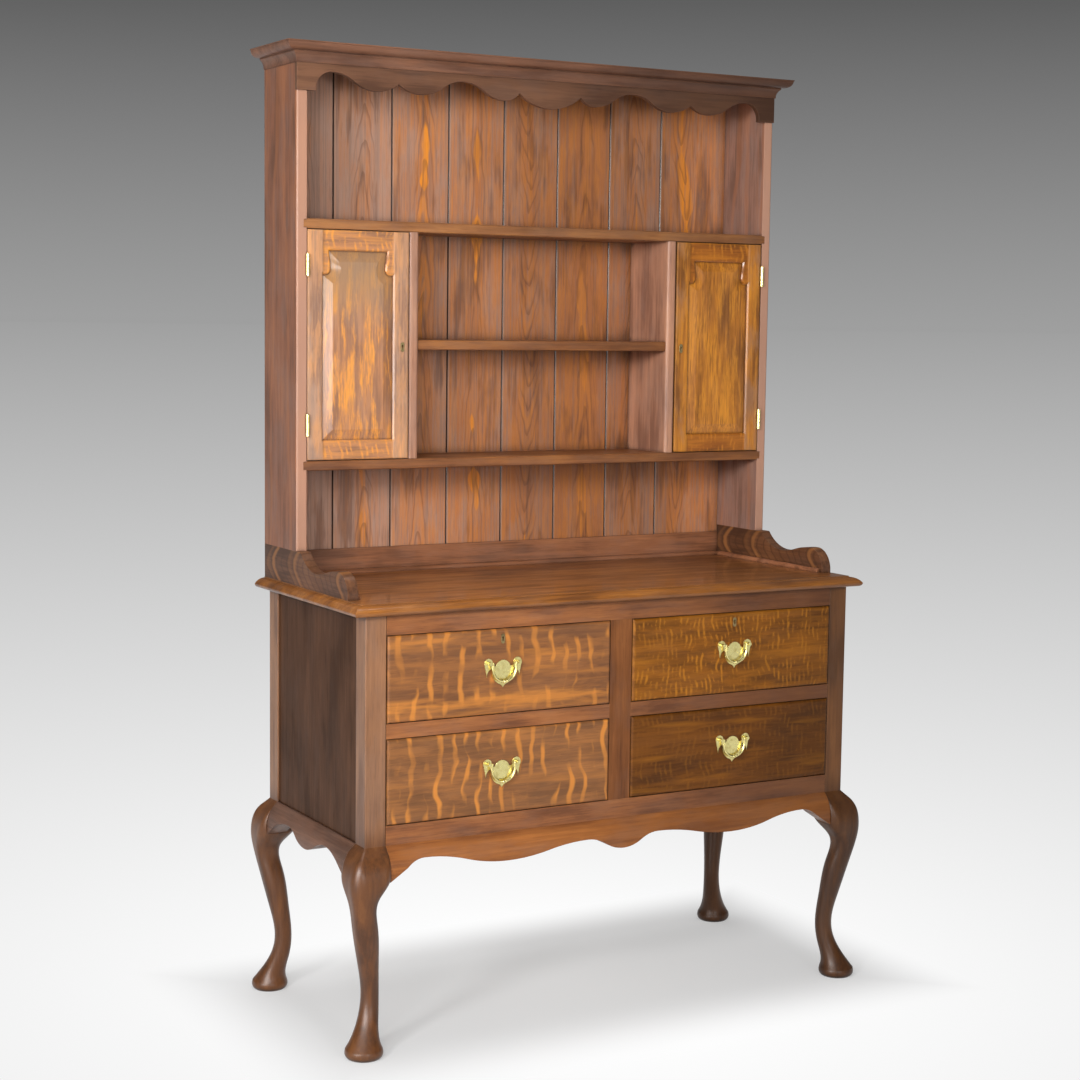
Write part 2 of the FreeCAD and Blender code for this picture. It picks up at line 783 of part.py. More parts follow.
gallery_front = f"({rack_back} - gallery_length)"
nose_crest = f"({gallery_front} + gallery_nose)"
ledge_end = f"({rack_front} - gallery_ledge)"
gallery_line = [
    (gallery_front, worktop, "cusp"),
    (nose_crest, f"({worktop} + gallery_nose_height)", "crest"),
    (f"({ledge_end} - gallery_sweep)", f"({worktop} + gallery_dip_height)", "crest"),
    (ledge_end, gallery_top, "cusp"),
]
gallery_outline = scroll(gallery_line) + [
    (ledge_end, gallery_top, None),
    (rack_back, gallery_top, None),
    (rack_back, worktop, None),
]
left_gallery_blank = board("gallery_side_blank", "YZ_Plane", gallery_outline, f"-{half_rack}", f"-{rack_in}")
gallery_rebate = box("gallery_side_rebate", (f"-({rack_in} + back_board_rebate)", f"-{rack_in}"),
                     (boards_front, rack_back), (gallery_back_top, gallery_top))
left_gallery = cut("gallery_side_left", left_gallery_blank, gallery_rebate)
subpart("gallery_side_left", left_gallery)
subpart("gallery_side_right", mirrored("gallery_side_right", left_gallery))
gallery_back_front = f"({rack_back} - gallery_back_thickness)"
subpart("gallery_back", box("gallery_back", (f"-{rack_in}", rack_in), (gallery_back_front, rack_back),
                            (worktop, gallery_back_top)))


def bead_section(corner):
    """Quarter round in the corner of the worktop and an upright face, across and up."""
    return [
        (corner, worktop, None),
        (f"{corner} - bead_size", worktop, (-1, "bead_size")),
        (corner, f"{worktop} + bead_size", None),
    ]


def bead_section_left(corner):
    """Quarter round on the inner side of the left gallery side, across and up."""
    return [
        (corner, worktop, None),
        (f"{corner} + bead_size", worktop, (1, "bead_size")),
        (corner, f"{worktop} + bead_size", None),
    ]


back_bead = board("bead_back", "YZ_Plane", bead_section(gallery_back_front), f"-{rack_in}", rack_in)
left_bead = board("bead_left", "XZ_Plane", bead_section_left(f"-{rack_in}"), f"{gallery_front} + bead_size",
                  f"{gallery_back_front} - bead_size")
subpart("gallery_bead", group("gallery_bead", back_bead, left_bead, mirrored("bead_right", left_bead)))

# Rack shelves, housed into the sides and dividers


def shelf(name, reach, front, low):
    """A shelf with softened front edges."""
    slab = board(name, "XY_Plane", rectangle((f"-({reach})", reach), (front, boards_front)),
                 low, f"({low}) + shelf_thickness")
    return rounded(slab, "shelf_edge_radius",
                   lambda middle: middle.y < value(front) + 1 and abs(middle.x) < 1)


top_shelf = shelf("top_shelf", f"{rack_in} + housing_depth", rack_front, top_shelf_bottom)
lower_shelf = shelf("lower_shelf", f"{rack_in} + housing_depth", rack_front, lower_shelf_bottom)
middle_shelf = shelf("middle_shelf", f"{half_bay} + housing_depth", f"{rack_front} + middle_shelf_setback",
                     f"({lower_shelf_top} + middle_shelf_rise)")
subpart("top_shelf", top_shelf)
subpart("lower_shelf", lower_shelf)
subpart("middle_shelf", middle_shelf)

# Butt hinges of the left door: leaves let into the rack side and the door, three knuckles on one pin

hinge_x = f"(hinge_gap/2 - {rack_in})"
hinge_y = f"({rack_front} - hinge_proud)"
door_left = f"(hinge_gap - {rack_in})"
door_right = f"(-({divider_out} + door_gap))"
door_bottom = f"({lower_shelf_top} + door_gap)"
door_top = f"({top_shelf_bottom} - door_gap)"
door_back = f"({rack_front} + door_thickness)"
leaf_let = "(leaf_thickness - leaf_stand)"
leaf_back = f"({rack_front} + leaf_width)"
leaf_start = f"({hinge_y} + knuckle_radius + 2*knuckle_gap/2 + pin_clearance)"
hinge_middles = {
    "top": f"({door_top} - hinge_inset)",
    "bottom": f"({door_bottom} + hinge_inset)",
}
fixed_leaf_x = (f"-{rack_in} - {leaf_let}", f"leaf_stand - {rack_in}")
moving_leaf_x = (f"{door_left} - leaf_stand", f"{door_left} + {leaf_let}")


def hinge_leaf(name, across, middle, knuckles):
    """A leaf with its knuckles, each a pair of heights, bored for the pin."""
    low, high = f"{middle} - hinge_length/2", f"{middle} + hinge_length/2"
    pieces = [box(f"{name}_plate", across, (leaf_start, leaf_back), (low, high))]
    for n, (start, end) in enumerate(knuckles):
        pieces.append(box(f"{name}_web_{n}", across, (hinge_y, leaf_start), (start, end)))
        pieces.append(cylinder(f"{name}_knuckle_{n}", "knuckle_radius", f"({end}) - ({start})",
                               (hinge_x, hinge_y, start), (0, 0, 1)))
    bore = cylinder(f"{name}_bore", "hinge_pin_radius + pin_clearance", "hinge_length",
                    (hinge_x, hinge_y, low), (0, 0, 1))
    return cut(name, fuse(f"{name}_blank", *pieces), bore)


fixed_leaves = []
moving_leaves = []
hinge_mortises = []
door_mortises = []
for place, middle in hinge_middles.items():
    low, high = f"{middle} - hinge_length/2", f"{middle} + hinge_length/2"
    third = "(hinge_length/6)"
    fixed_leaves.append(hinge_leaf(f"fixed_leaf_{place}", fixed_leaf_x, middle,
                                   [(low, f"{middle} - {third}"), (f"{middle} + {third}", high)]))
    moving_leaves.append(hinge_leaf(f"moving_leaf_{place}", moving_leaf_x, middle,
                                    [(f"{middle} - {third} + knuckle_gap", f"{middle} + {third} - knuckle_gap")]))
    moving_leaves.append(cylinder(f"hinge_pin_{place}", "hinge_pin_radius", "hinge_length",
                                  (hinge_x, hinge_y, low), (0, 0, 1)))
    hinge_mortises.append(box(f"side_mortise_{place}", (fixed_leaf_x[0], f"-{rack_in}"),
                              (rack_front, leaf_back), (low, high)))
    door_mortises.append(box(f"door_mortise_{place}", (door_left, moving_leaf_x[1]),
                             (rack_front, leaf_back), (low, high)))
left_fixed_leaves = group("hinge_leaves_left", *fixed_leaves)
subpart("hinge_fixed_leaves", group("hinge_fixed_leaves", left_fixed_leaves,
                                    mirrored("hinge_leaves_right", left_fixed_leaves)))

# Rack sides: rounded along the outer front edge, rebated for the back boards, notched for the frieze and
# housed for the shelves

left_side_blank = board("rack_side_blank", "XY_Plane",
                        rectangle((f"-{half_rack}", f"-{rack_in}"), (rack_front, rack_back)),
                        gallery_top, rack_side_top)
rounded(left_side_blank, "rack_edge_radius",
        lambda middle: middle.x < 1 - value(half_rack) and middle.y < value(rack_front) + 1)
side_rebate = box("rack_side_rebate", (f"-({rack_in} + back_board_rebate)", f"-{rack_in}"),
                  (boards_front, rack_back), (gallery_top, rack_side_top))
frieze_notch = box("rack_side_notch", (f"-{half_rack}", f"-{rack_in}"), (rack_front, frieze_back),
                   (f"{rack_height} - frieze_stop_height", rack_side_top))
left_rack_side = cut("rack_side_left", left_side_blank, side_rebate, frieze_notch, top_shelf, lower_shelf,
                     *hinge_mortises)
subpart("rack_side_left", left_rack_side)
subpart("rack_side_right", mirrored("rack_side_right", left_rack_side))

# Upright back boards of the rack, tongued together with V joints

boards_end = f"({rack_in} + back_board_rebate)"
back_joint_count = 7
back_joints = [f"(back_board_first - {rack_in} + {n}*back_board_pitch)" for n in range(back_joint_count)]
subpart("back_boards", group("back_boards", *upright_boards(
    "back_board",
    back_joints,
    (f"-{boards_end}", boards_end),
    (boards_front, rack_back),
    (gallery_back_top, rack_side_top),
)))

# Rack top, frieze and cornice

subpart("rack_top", box("rack_top", (f"-{half_rack}", half_rack), (frieze_front, rack_back),
                        (rack_side_top, rack_height)))


def under_top(depth):
    """Height of a point of the frieze's edge, measured down from the top of the rack."""
    return f"({rack_height} - {depth})"


small_lobe = "(frieze_centre_half + frieze_small_lobe)"
inner_arch = f"({small_lobe} + frieze_swing)"
large_lobe = f"({inner_arch} + frieze_swing)"
outer_cusp = f"({large_lobe} + frieze_large_lobe)"
end_arch = f"({half_rack} - frieze_end_arch_offset)"
frieze_half = [
    ("0", under_top("frieze_centre_height"), "crest"),
    ("frieze_centre_half", under_top("frieze_cusp_height"), "cusp"),
    (small_lobe, under_top("frieze_lobe_height"), "crest"),
    (inner_arch, under_top("frieze_arch_height"), "crest"),
    (large_lobe, under_top("frieze_lobe_height"), "crest"),
    (outer_cusp, under_top("frieze_cusp_height"), "cusp"),
    (f"(({outer_cusp} + {end_arch})/2 - frieze_large_lobe/2)", under_top("frieze_lobe_height"), "crest"),
    (end_arch, under_top("frieze_arch_height"), "crest"),
    (f"({half_rack} - frieze_stop_width)", under_top("frieze_stop_height"), "cusp"),
    (half_rack, under_top("frieze_stop_height"), "cusp"),
]
frieze_line = both_ways(frieze_half)
frieze_outline = scroll(frieze_line) + [
    (half_rack, under_top("frieze_stop_height"), None),
    (half_rack, rack_side_top, None),
    (f"-{half_rack}", rack_side_top, None),
]
subpart("frieze", board("frieze", "XZ_Plane", frieze_outline, frieze_front, frieze_back))


def cornice_section(face):
    """Section of the cornice, across and up, standing out from an upright face towards lower values."""
    lip_foot = f"({rack_height} - cornice_lip)"
    ovolo_foot = f"({lip_foot} - cornice_ovolo)"
    cove_head = f"({ovolo_foot} - cornice_fillet)"
    foot = f"({rack_height} - cornice_height)"
    cove_foot = f"({foot} + cornice_foot_fillet)"
    ovolo_out = "(cornice_projection - cornice_lip_step)"
    ovolo_in = f"({ovolo_out} - cornice_ovolo)"
    cove_out = f"({ovolo_in} - cornice_step)"
    cove = level_arc(f"({cove_head} - {cove_foot})", f"({cove_out} - cornice_foot_fillet)")
    return [
        (face, rack_height, None),
        (f"{face} - cornice_projection", rack_height, None),
        (f"{face} - cornice_projection", lip_foot, None),
        (f"{face} - {ovolo_out}", lip_foot, (1, "cornice_ovolo")),
        (f"{face} - {ovolo_in}", ovolo_foot, None),
        (f"{face} - {cove_out}", ovolo_foot, None),
        (f"{face} - {cove_out}", cove_head, (-1, cove)),
        (f"{face} - cornice_foot_fillet", cove_foot, None),
        (f"{face} - cornice_foot_fillet", foot, None),
        (face, foot, None),
    ]


cornice_end = f"({half_rack} + cornice_projection)"
cornice_lip = f"({frieze_front} - cornice_projection)"
cornice_foot = f"({rack_height} - cornice_height)"
front_mitre = board("cornice_front_mitre", "XY_Plane", [
    (f"-{half_rack}", frieze_front, None),
    (f"-{cornice_end}", cornice_lip, None),
    (cornice_end, cornice_lip, None),
    (half_rack, frieze_front, None),
], cornice_foot, rack_height)
side_mitre = board("cornice_side_mitre", "XY_Plane", [
    (f"-{half_rack}", frieze_front, None),
    (f"-{half_rack}", rack_back, None),
    (f"-{cornice_end}", rack_back, None),
    (f"-{cornice_end}", cornice_lip, None),
], cornice_foot, rack_height)
front_cornice = common(
    "cornice_front",
    board("cornice_front_run", "YZ_Plane", cornice_section(frieze_front), f"-{cornice_end}", cornice_end),
    front_mitre,
)
left_cornice = common(
    "cornice_left",
    board("cornice_left_run", "XZ_Plane", cornice_section(f"-{half_rack}"), cornice_lip, rack_back),
    side_mitre,
)
subpart("cornice", group("cornice", front_cornice, left_cornice, mirrored("cornice_right", left_cornice)))

# Left cupboard door: stiles, rails and a raised and fielded panel held in grooves

door_depth = (rack_front, door_back)
opening_left = f"({door_left} + stile_width)"
opening_right = f"({door_right} - stile_width)"
opening_bottom = f"({door_bottom} + door_bottom_rail_height)"
opening_top = f"({door_top} - door_top_rail_height)"
tongue_front = f"({rack_front} + panel_setback)"
panel_slab = box(
    "door_panel_tongue",
    (f"{opening_left} - panel_tongue_depth", f"{opening_right} + panel_tongue_depth"),
    (tongue_front, f"{tongue_front} + panel_tongue_thickness"),
    (f"{opening_bottom} - panel_tongue_depth", f"{opening_top} + panel_tongue_depth"),
)


def lug_line(stile, way, inset):
    """The shaped line down a lug of the top rail, a distance into the opening, for a way of 1 or -1 from the stile.

    It gives the points at the rail, half way, at the nose and beside the stile, and the two radii.
    """
    nose_reach = f"(lug_nose_radius + {inset})"
    nose_x = f"({stile} + ({way})*(lug_nose_inset + {nose_reach}))"
    nose_z = f"({opening_top} - lug_height + lug_nose_radius)"
    head_x = f"({stile} + ({way})*(lug_width + {inset}))"
    head_z = f"({opening_top} - {inset})"
    foot_z = f"({nose_z} - sqrt({nose_reach}^2 - (lug_nose_inset - {inset})^2))"
    hollow = f"((({nose_x} - {head_x})^2 + ({nose_z} - {head_z})^2) / (4*abs({nose_x} - {head_x})))"
    points = [
        (head_x, head_z),
        (f"(({head_x} + {nose_x})/2)", f"(({head_z} + {nose_z})/2)"),
        (nose_x, nose_z),
        (f"({stile} + ({way})*{inset})", foot_z),
    ]
    return points, hollow, nose_reach


def panel_outline(inset):
    """Outline of the panel a distance inside its frame, drawn in at the head between the lugs."""
    low = f"({opening_bottom} + {inset})"
    left, hollow, nose = lug_line(opening_left, 1, inset)
    right = lug_line(opening_right, -1, inset)[0]
    return [
        (left[3][0], low, None),
        (right[3][0], low, None),
        (*right[3], (-1, nose)),
        (*right[2], (-1, hollow)),
        (*right[1], (1, hollow)),
        (*right[0], None),
        (*left[0], (1, hollow)),
        (*left[1], (-1, hollow)),
        (*left[2], (-1, nose)),
        (*left[3], None),
    ]


field_body = doc.addObject("PartDesign::Body", "door_panel_field")
field_foot = new_sketch(field_body, "XZ_Plane", f"-{tongue_front}")
draw(field_foot, panel_outline("panel_margin"))
field_face = new_sketch(field_body, "XZ_Plane", f"panel_field_rise - {tongue_front}")
draw(field_face, panel_outline("panel_bevel_width"))
field = field_body.newObject("PartDesign::AdditiveLoft", "door_panel_bevel")
field.Profile = field_foot
field.Sections = [field_face]
field.Ruled = True
left_door_panel = fuse("door_left_panel", panel_slab, field_body)

# Lock of the left door in the stile beside the divider, with its bolt drawn back

door_key_x = f"({door_right} - lock_width/2)"
door_key_z = f"(({lower_shelf_top} + {top_shelf_bottom})/2)"
lock_front = f"({door_back} - lock_depth)"
bolt_front = f"({lock_front} + (lock_depth - bolt_width)/2)"
bolt_rear = f"({bolt_front} + bolt_width)"
door_lock_heights = (f"{door_key_z} - lock_height/2", f"{door_key_z} + lock_height/2")
door_bolt_heights = (f"{door_key_z} - bolt_height/2", f"{door_key_z} + bolt_height/2")
door_lock_case = box("door_lock_case", (f"{door_right} - lock_width", door_right), (lock_front, door_back),
                     door_lock_heights)
door_bolt = box("door_left_bolt", (f"{door_right} - bolt_length", door_right), (bolt_front, bolt_rear),
                door_bolt_heights)


def loosened(name, across, deep, up):
    """The room for a bolt: its own box with a clearance on every side."""
    spans = [(f"{low} - bolt_clearance", f"{high} + bolt_clearance") for low, high in (across, deep, up)]
    return box(name, *spans)


def keyhole(name, across, front, back, up):
    """A keyhole through a front: a round hole with a slot below it."""
    hole = cylinder(f"{name}_round", "keyhole_radius", f"({back}) - ({front})", (across, front, up), (0, 1, 0))
    slot = box(f"{name}_slot", (f"{across} - keyhole_slot/2", f"{across} + keyhole_slot/2"), (front, back),
               (f"{up} - keyhole_drop", up))
    return fuse(name, hole, slot)


def key_plate(name, across, front, up, hole):
    """A thin brass plate about a keyhole, upright with round ends."""
    left, right = f"{across} - key_plate_half_width", f"{across} + key_plate_half_width"
    middle = f"({up} - keyhole_drop/3)"
    low, high = f"{middle} - key_plate_half_length", f"{middle} + key_plate_half_length"
    bend = (1, "key_plate_half_width")
    plate = board(f"{name}_blank", "XZ_Plane", [
        (right, low, None),
        (right, high, bend),
        (across, f"{high} + key_plate_half_width", bend),
        (left, high, None),
        (left, low, bend),
        (across, f"{low} - key_plate_half_width", bend),
    ], f"{front} - key_plate_thickness", front)
    return cut(name, plate, hole)


door_keyhole = keyhole("door_keyhole", door_key_x, f"{rack_front} - key_plate_thickness", lock_front, door_key_z)
door_bolt_room = loosened("door_bolt_room", (f"{door_right} - bolt_length", door_right), (bolt_front, bolt_rear),
                          door_bolt_heights)
left_door_lock = group(
    "door_left_lock",
    cut("door_lock_body", door_lock_case, door_bolt_room),
    key_plate("door_key_plate", door_key_x, rack_front, door_key_z, door_keyhole),
)
hinge_stile = cut(
    "door_hinge_stile",
    box("door_hinge_stile_blank", (door_left, opening_left), door_depth, (door_bottom, door_top)),
    panel_slab,
    *door_mortises,
)
lock_stile = cut(
    "door_lock_stile",
    box("door_lock_stile_blank", (opening_right, door_right), door_depth, (door_bottom, door_top)),
    panel_slab,
    door_lock_case,
    door_keyhole,
)
bottom_door_rail = cut(
    "door_bottom_rail",
    box("door_bottom_rail_blank", (opening_left, opening_right), door_depth, (door_bottom, opening_bottom)),
    panel_slab,
)
chamfer_body = doc.addObject("PartDesign::Body", "door_frame_chamfer")
chamfer_foot = new_sketch(chamfer_body, "XZ_Plane", f"-({rack_front} + frame_chamfer)")
draw(chamfer_foot, panel_outline("0"))
chamfer_head = new_sketch(chamfer_body, "XZ_Plane", f"-{rack_front}")
draw(chamfer_head, panel_outline("(0 - frame_chamfer)"))
chamfer = chamfer_body.newObject("PartDesign::AdditiveLoft", "door_frame_bevel")
chamfer.Profile = chamfer_foot
chamfer.Sections = [chamfer_head]
chamfer.Ruled = True
left_lug, lug_hollow, lug_nose = lug_line(opening_left, 1, "0")
right_lug = lug_line(opening_right, -1, "0")[0]
top_door_rail = cut(
    "door_top_rail",
    board("door_top_rail_blank", "XZ_Plane", [
        (opening_left, door_top, None),
        (*left_lug[3], (1, lug_nose)),
        (*left_lug[2], (1, lug_hollow)),
        (*left_lug[1], (-1, lug_hollow)),
        (*left_lug[0], None),
        (*right_lug[0], (-1, lug_hollow)),
        (*right_lug[1], (1, lug_hollow)),
        (*right_lug[2], (1, lug_nose)),
        (*right_lug[3], None),
        (opening_right, door_top, None),
    ], rack_front, door_back),
    panel_slab,
)
frame_members = [cut(f"door_frame_member_{n}", member, chamfer_body)
                 for n, member in enumerate((hinge_stile, lock_stile, bottom_door_rail, top_door_rail))]
left_door_frame = group("door_left_frame", *frame_members)
left_door_hinges = group("door_left_hinges", *moving_leaves)
for side_name, make in (("left", lambda name, piece: piece), ("right", mirrored)):
    subpart(f"door_{side_name}_frame", make("door_right_frame", left_door_frame))
    subpart(f"door_{side_name}_panel", make("door_right_panel", left_door_panel))
    subpart(f"door_{side_name}_hinges", make("door_right_hinges", left_door_hinges))
    subpart(f"door_{side_name}_lock", make("door_right_lock", left_door_lock))
    subpart(f"door_{side_name}_bolt", make("door_right_bolt", door_bolt))

# Dividers between the cupboards and the middle bay, housed for the middle shelf and cut for the lock bolts

bolt_mortise = loosened("divider_mortise", (f"-{divider_out}", f"bolt_travel - {divider_out}"),
                        (bolt_front, bolt_rear), door_bolt_heights)
divider_blank = board("divider_blank", "XY_Plane",
                      rectangle((f"-{divider_out}", f"-{half_bay}"), (rack_front, boards_front)),
                      lower_shelf_top, top_shelf_bottom)
rounded(divider_blank, "divider_edge_radius",
        lambda middle: middle.y < value(rack_front) + 1 and abs(middle.z - value(door_key_z)) < 1)
left_divider = cut("divider_left", divider_blank, middle_shelf, bolt_mortise)
subpart("dividers", group("dividers", left_divider, mirrored("divider_right", left_divider)))

# Drawers on the left side: a front with a rounded edge, and a box of sides, back and bottom

drawer_face = f"(-{half_depth} - drawer_front_proud)"
front_back = f"({drawer_face} + drawer_front_thickness)"
drawer_x = (f"(drawer_gap - {post_in})", f"(-{half_muntin} - drawer_gap)")
drawer_middle = f"(({drawer_x[0]} + {drawer_x[1]})/2)"
box_back = f"({front_back} + drawer_box_depth)"
OPENINGS = {
    "upper": (mid_rail_top, upper_opening_top),
    "lower": (bottom_rail_top, lower_opening_top),
}


def drawer_front(name, heights):
    """A drawer front that stands a little proud of the frame, with its outer edge rounded."""
    blank = board(name, "XZ_Plane", rectangle(drawer_x, heights), drawer_face, front_back)
    return rounded(blank, "drawer_edge_radius", lambda middle: middle.y < value(drawer_face) + 1)


def drawer_box(name, rest, top):
    """Sides, back and bottom of a drawer, with the bottom in grooves."""
    side_low, side_high = f"({rest} + drawer_rest_gap)", f"({top} - drawer_side_drop)"
    bottom_low = f"({side_low} + drawer_bottom_rise)"
    bottom_high = f"({bottom_low} + drawer_bottom_thickness)"
    inner_left = f"({drawer_x[0]} + drawer_side_thickness)"
    inner_right = f"({drawer_x[1]} - drawer_side_thickness)"
    bottom = box(f"{name}_bottom", (f"{inner_left} - drawer_groove", f"{inner_right} + drawer_groove"),
                 (f"{front_back} - drawer_groove", box_back), (bottom_low, bottom_high))
    outer_side = cut(f"{name}_outer_side", box(f"{name}_outer_blank", (drawer_x[0], inner_left),
                                               (front_back, box_back), (side_low, side_high)), bottom)
    inner_side = cut(f"{name}_inner_side", box(f"{name}_inner_blank", (inner_right, drawer_x[1]),
                                               (front_back, box_back), (side_low, side_high)), bottom)
    rear = box(f"{name}_rear", (inner_left, inner_right), (f"{box_back} - drawer_side_thickness", box_back),
               (bottom_high, side_high))
    return group(name, outer_side, inner_side, rear, bottom), bottom


# Brass handles: a winged back plate with two posts, and a bail that hangs between them on its own pins

half_posts = "(post_spacing/2)"
plate_front = f"({drawer_face} - plate_thickness)"
bail_y = f"({plate_front} - bail_standoff)"
bail_arm = f"({half_posts} - handle_post_radius - bail_side_gap - bail_end_radius)"


def plate_outline(across, up):
    """Outline of the back plate: a low crown, an ear behind each post, a wing below it and a pointed foot."""
    half_line = [
        ("0", "-plate_foot", (-1, "plate_foot_hollow")),
        ("plate_toe", "-plate_toe_depth", (1, "plate_belly_radius")),
        ("plate_belly", "-plate_belly_depth", None),
        ("plate_notch", "-plate_notch_depth", (-1, "plate_notch_radius")),
        ("wing_tip", "-wing_tip_depth", None),
        (f"{half_posts} + 0.9*ear_radius", "-0.436*ear_radius", (1, "ear_radius")),
        (half_posts, "ear_radius", (1, "ear_radius")),
        (f"{half_posts} - 0.9*ear_radius", "-0.436*ear_radius", (-1, "plate_saddle_radius")),
        ("plate_saddle", "-plate_saddle_depth", (1, "plate_shoulder_radius")),
        ("plate_shoulder", "plate_shoulder_rise", (1, "plate_crown_radius")),
    ]
    right = [(f"{across} + {x}", f"{up} + {z}", bend) for x, z, bend in half_line]
    bends = [bend for x, z, bend in half_line]
    tops = half_line[1:] + [("0", "plate_crown", None)]
    left = [(f"{across} - ({x})", f"{up} + {z}", bend) for (x, z, end), bend in zip(reversed(tops), reversed(bends))]
    return right + left


def handle_plate(name, across, up):
    """The back plate with its two posts, each bored for the bail."""
    plate = board(f"{name}_back", "XZ_Plane", plate_outline(across, up), plate_front, drawer_face)
    posts = [cylinder(f"{name}_post_{n}", "handle_post_radius", "handle_post_length",
                      (f"{across} + ({side})*{half_posts}", f"{plate_front} - handle_post_length", up), (0, 1, 0))
             for n, side in enumerate(("-1", "1"))]
    bore = cylinder(f"{name}_bore", "bail_pin_radius + pin_clearance", "2*post_spacing",
                    (f"{across} - post_spacing", bail_y, up), (1, 0, 0))
    posts_bored = [cut(f"{name}_bored_{n}", post, bore) for n, post in enumerate(posts)]
    return fuse(name, plate, *posts_bored)


def ball(name, radius, at):
    """A ball about a point, turned on an axis across the front."""
    globe = doc.addObject("Part::Sphere", name)
    globe.Placement.Rotation = FreeCAD.Rotation(FreeCAD.Vector(0, 1, 0), -90)
    globe.setExpression("Radius", expression(radius))
    for axis, place in zip("xyz", at):
        globe.setExpression(f"Placement.Base.{axis}", expression(place))
    return globe


def bail(name, across, up):
    """The swinging bail: a rod bent to a stirrup, three beads at its foot, and a ball and a pin at each end."""
    bend = f"({up} - bail_straight)"
    bead_z = f"({bend} - sqrt({bail_arm}^2 - bail_bead_spacing^2))"
    pieces = [ball(f"{name}_knop", "bail_knop_radius", (across, bail_y, f"{bend} - {bail_arm}"))]
    rod = doc.addObject("Part::Torus", f"{name}_rod")
    rod.Placement.Rotation = FreeCAD.Rotation(FreeCAD.Vector(1, 0, 0), -90)
    rod.Angle3 = 180
    rod.setExpression("Radius1", expression(bail_arm))
    rod.setExpression("Radius2", expression("bail_radius"))
    for axis, place in zip("xyz", (across, bail_y, bend)):
        rod.setExpression(f"Placement.Base.{axis}", expression(place))
    pieces.append(rod)
    pin_length = "bail_end_radius + bail_side_gap + 2*handle_post_radius"
    for n, side in enumerate((-1, 1)):
        arm_x = f"{across} + ({side})*{bail_arm}"
        pieces.append(ball(f"{name}_bead_{n}", "bail_bead_radius",
                           (f"{across} + ({side})*bail_bead_spacing", bail_y, bead_z)))
        pieces.append(cylinder(f"{name}_arm_{n}", "bail_radius", "bail_straight", (arm_x, bail_y, bend), (0, 0, 1)))
        pieces.append(ball(f"{name}_ball_{n}", "bail_end_radius", (arm_x, bail_y, up)))
        pieces.append(cylinder(f"{name}_pin_{n}", "bail_pin_radius", pin_length, (arm_x, bail_y, up), (side, 0, 0)))
    return fuse(name, *pieces)


lock_top_z = f"({upper_opening_top} - drawer_gap)"
drawer_key_z = f"({upper_opening_top} - keyhole_inset)"
drawer_lock_front = f"({front_back} - lock_depth)"
drawer_bolt_front = f"({drawer_lock_front} + (lock_depth - bolt_width)/2)"
drawer_bolt_rear = f"({drawer_bolt_front} + bolt_width)"
drawer_lock_across = (f"{drawer_middle} - lock_height/2", f"{drawer_middle} + lock_height/2")
drawer_bolt_across = (f"{drawer_middle} - bolt_height/2", f"{drawer_middle} + bolt_height/2")
drawer_lock_case = box("drawer_lock_case", drawer_lock_across, (drawer_lock_front, front_back),
                       (f"{lock_top_z} - lock_width", lock_top_z))
drawer_bolt_heights = (f"{lock_top_z} - bolt_length", lock_top_z)
drawer_bolt = box("drawer_bolt", drawer_bolt_across, (drawer_bolt_front, drawer_bolt_rear), drawer_bolt_heights)
drawer_bolt_room = loosened("drawer_bolt_room", drawer_bolt_across, (drawer_bolt_front, drawer_bolt_rear),
                            drawer_bolt_heights)
drawer_keyhole = keyhole("drawer_keyhole", drawer_middle, f"{drawer_face} - key_plate_thickness",
                         drawer_lock_front, drawer_key_z)
drawer_lock = group(
    "drawer_lock",
    cut("drawer_lock_body", drawer_lock_case, drawer_bolt_room),
    key_plate("drawer_key_plate", drawer_middle, drawer_face, drawer_key_z, drawer_keyhole),
)

for level, (rest, top) in OPENINGS.items():
    heights = (f"({rest} + drawer_gap)", f"({top} - drawer_gap)")
    handle_z = f"(({rest} + {top})/2 + handle_rise)"
    carcass, bottom = drawer_box(f"drawer_{level}_left_box", rest, heights[1])
    front_piece = cut(f"drawer_{level}_left_front", drawer_front(f"drawer_{level}_blank", heights), bottom)
    if level == "upper":
        front_piece = cut("drawer_upper_left_front", front_piece, drawer_lock_case, drawer_keyhole)
    pieces = {
        "front": front_piece,
        "box": carcass,
        "plate": handle_plate(f"drawer_{level}_left_plate", drawer_middle, handle_z),
        "bail": bail(f"drawer_{level}_left_bail", drawer_middle, handle_z),
    }
    if level == "upper":
        pieces["lock"] = drawer_lock
        pieces["bolt"] = drawer_bolt
    for kind, piece in pieces.items():
        subpart(f"drawer_{level}_left_{kind}", piece)
        subpart(f"drawer_{level}_right_{kind}", mirrored(f"drawer_{level}_right_{kind}", piece))

# The top rail is cut for the bolts of the upper drawers

rail_mortise = loosened("rail_mortise", drawer_bolt_across, (drawer_bolt_front, drawer_bolt_rear),
                        (upper_opening_top, f"{upper_opening_top} + bolt_travel"))
subpart("front_top_rail", cut("front_top_rail", front_top_rail, rail_mortise,
                              mirrored("rail_mortise_right", rail_mortise)))

# Every object is checked before any file is written

doc.recompute()
failed = [item.Label for item in doc.Objects if "Invalid" in item.State or "Error" in item.State]
failed += [piece.Label for piece in subparts if piece.Shape.isNull() or not piece.Shape.isValid()]
if failed:
    raise RuntimeError(f"failed: {failed}")
os.makedirs("parts", exist_ok=True)
for piece in subparts:
    piece.Shape.exportStep(os.path.join("parts", f"{piece.Label}.step"))
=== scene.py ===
import math

import bpy
from mathutils import Matrix, Vector


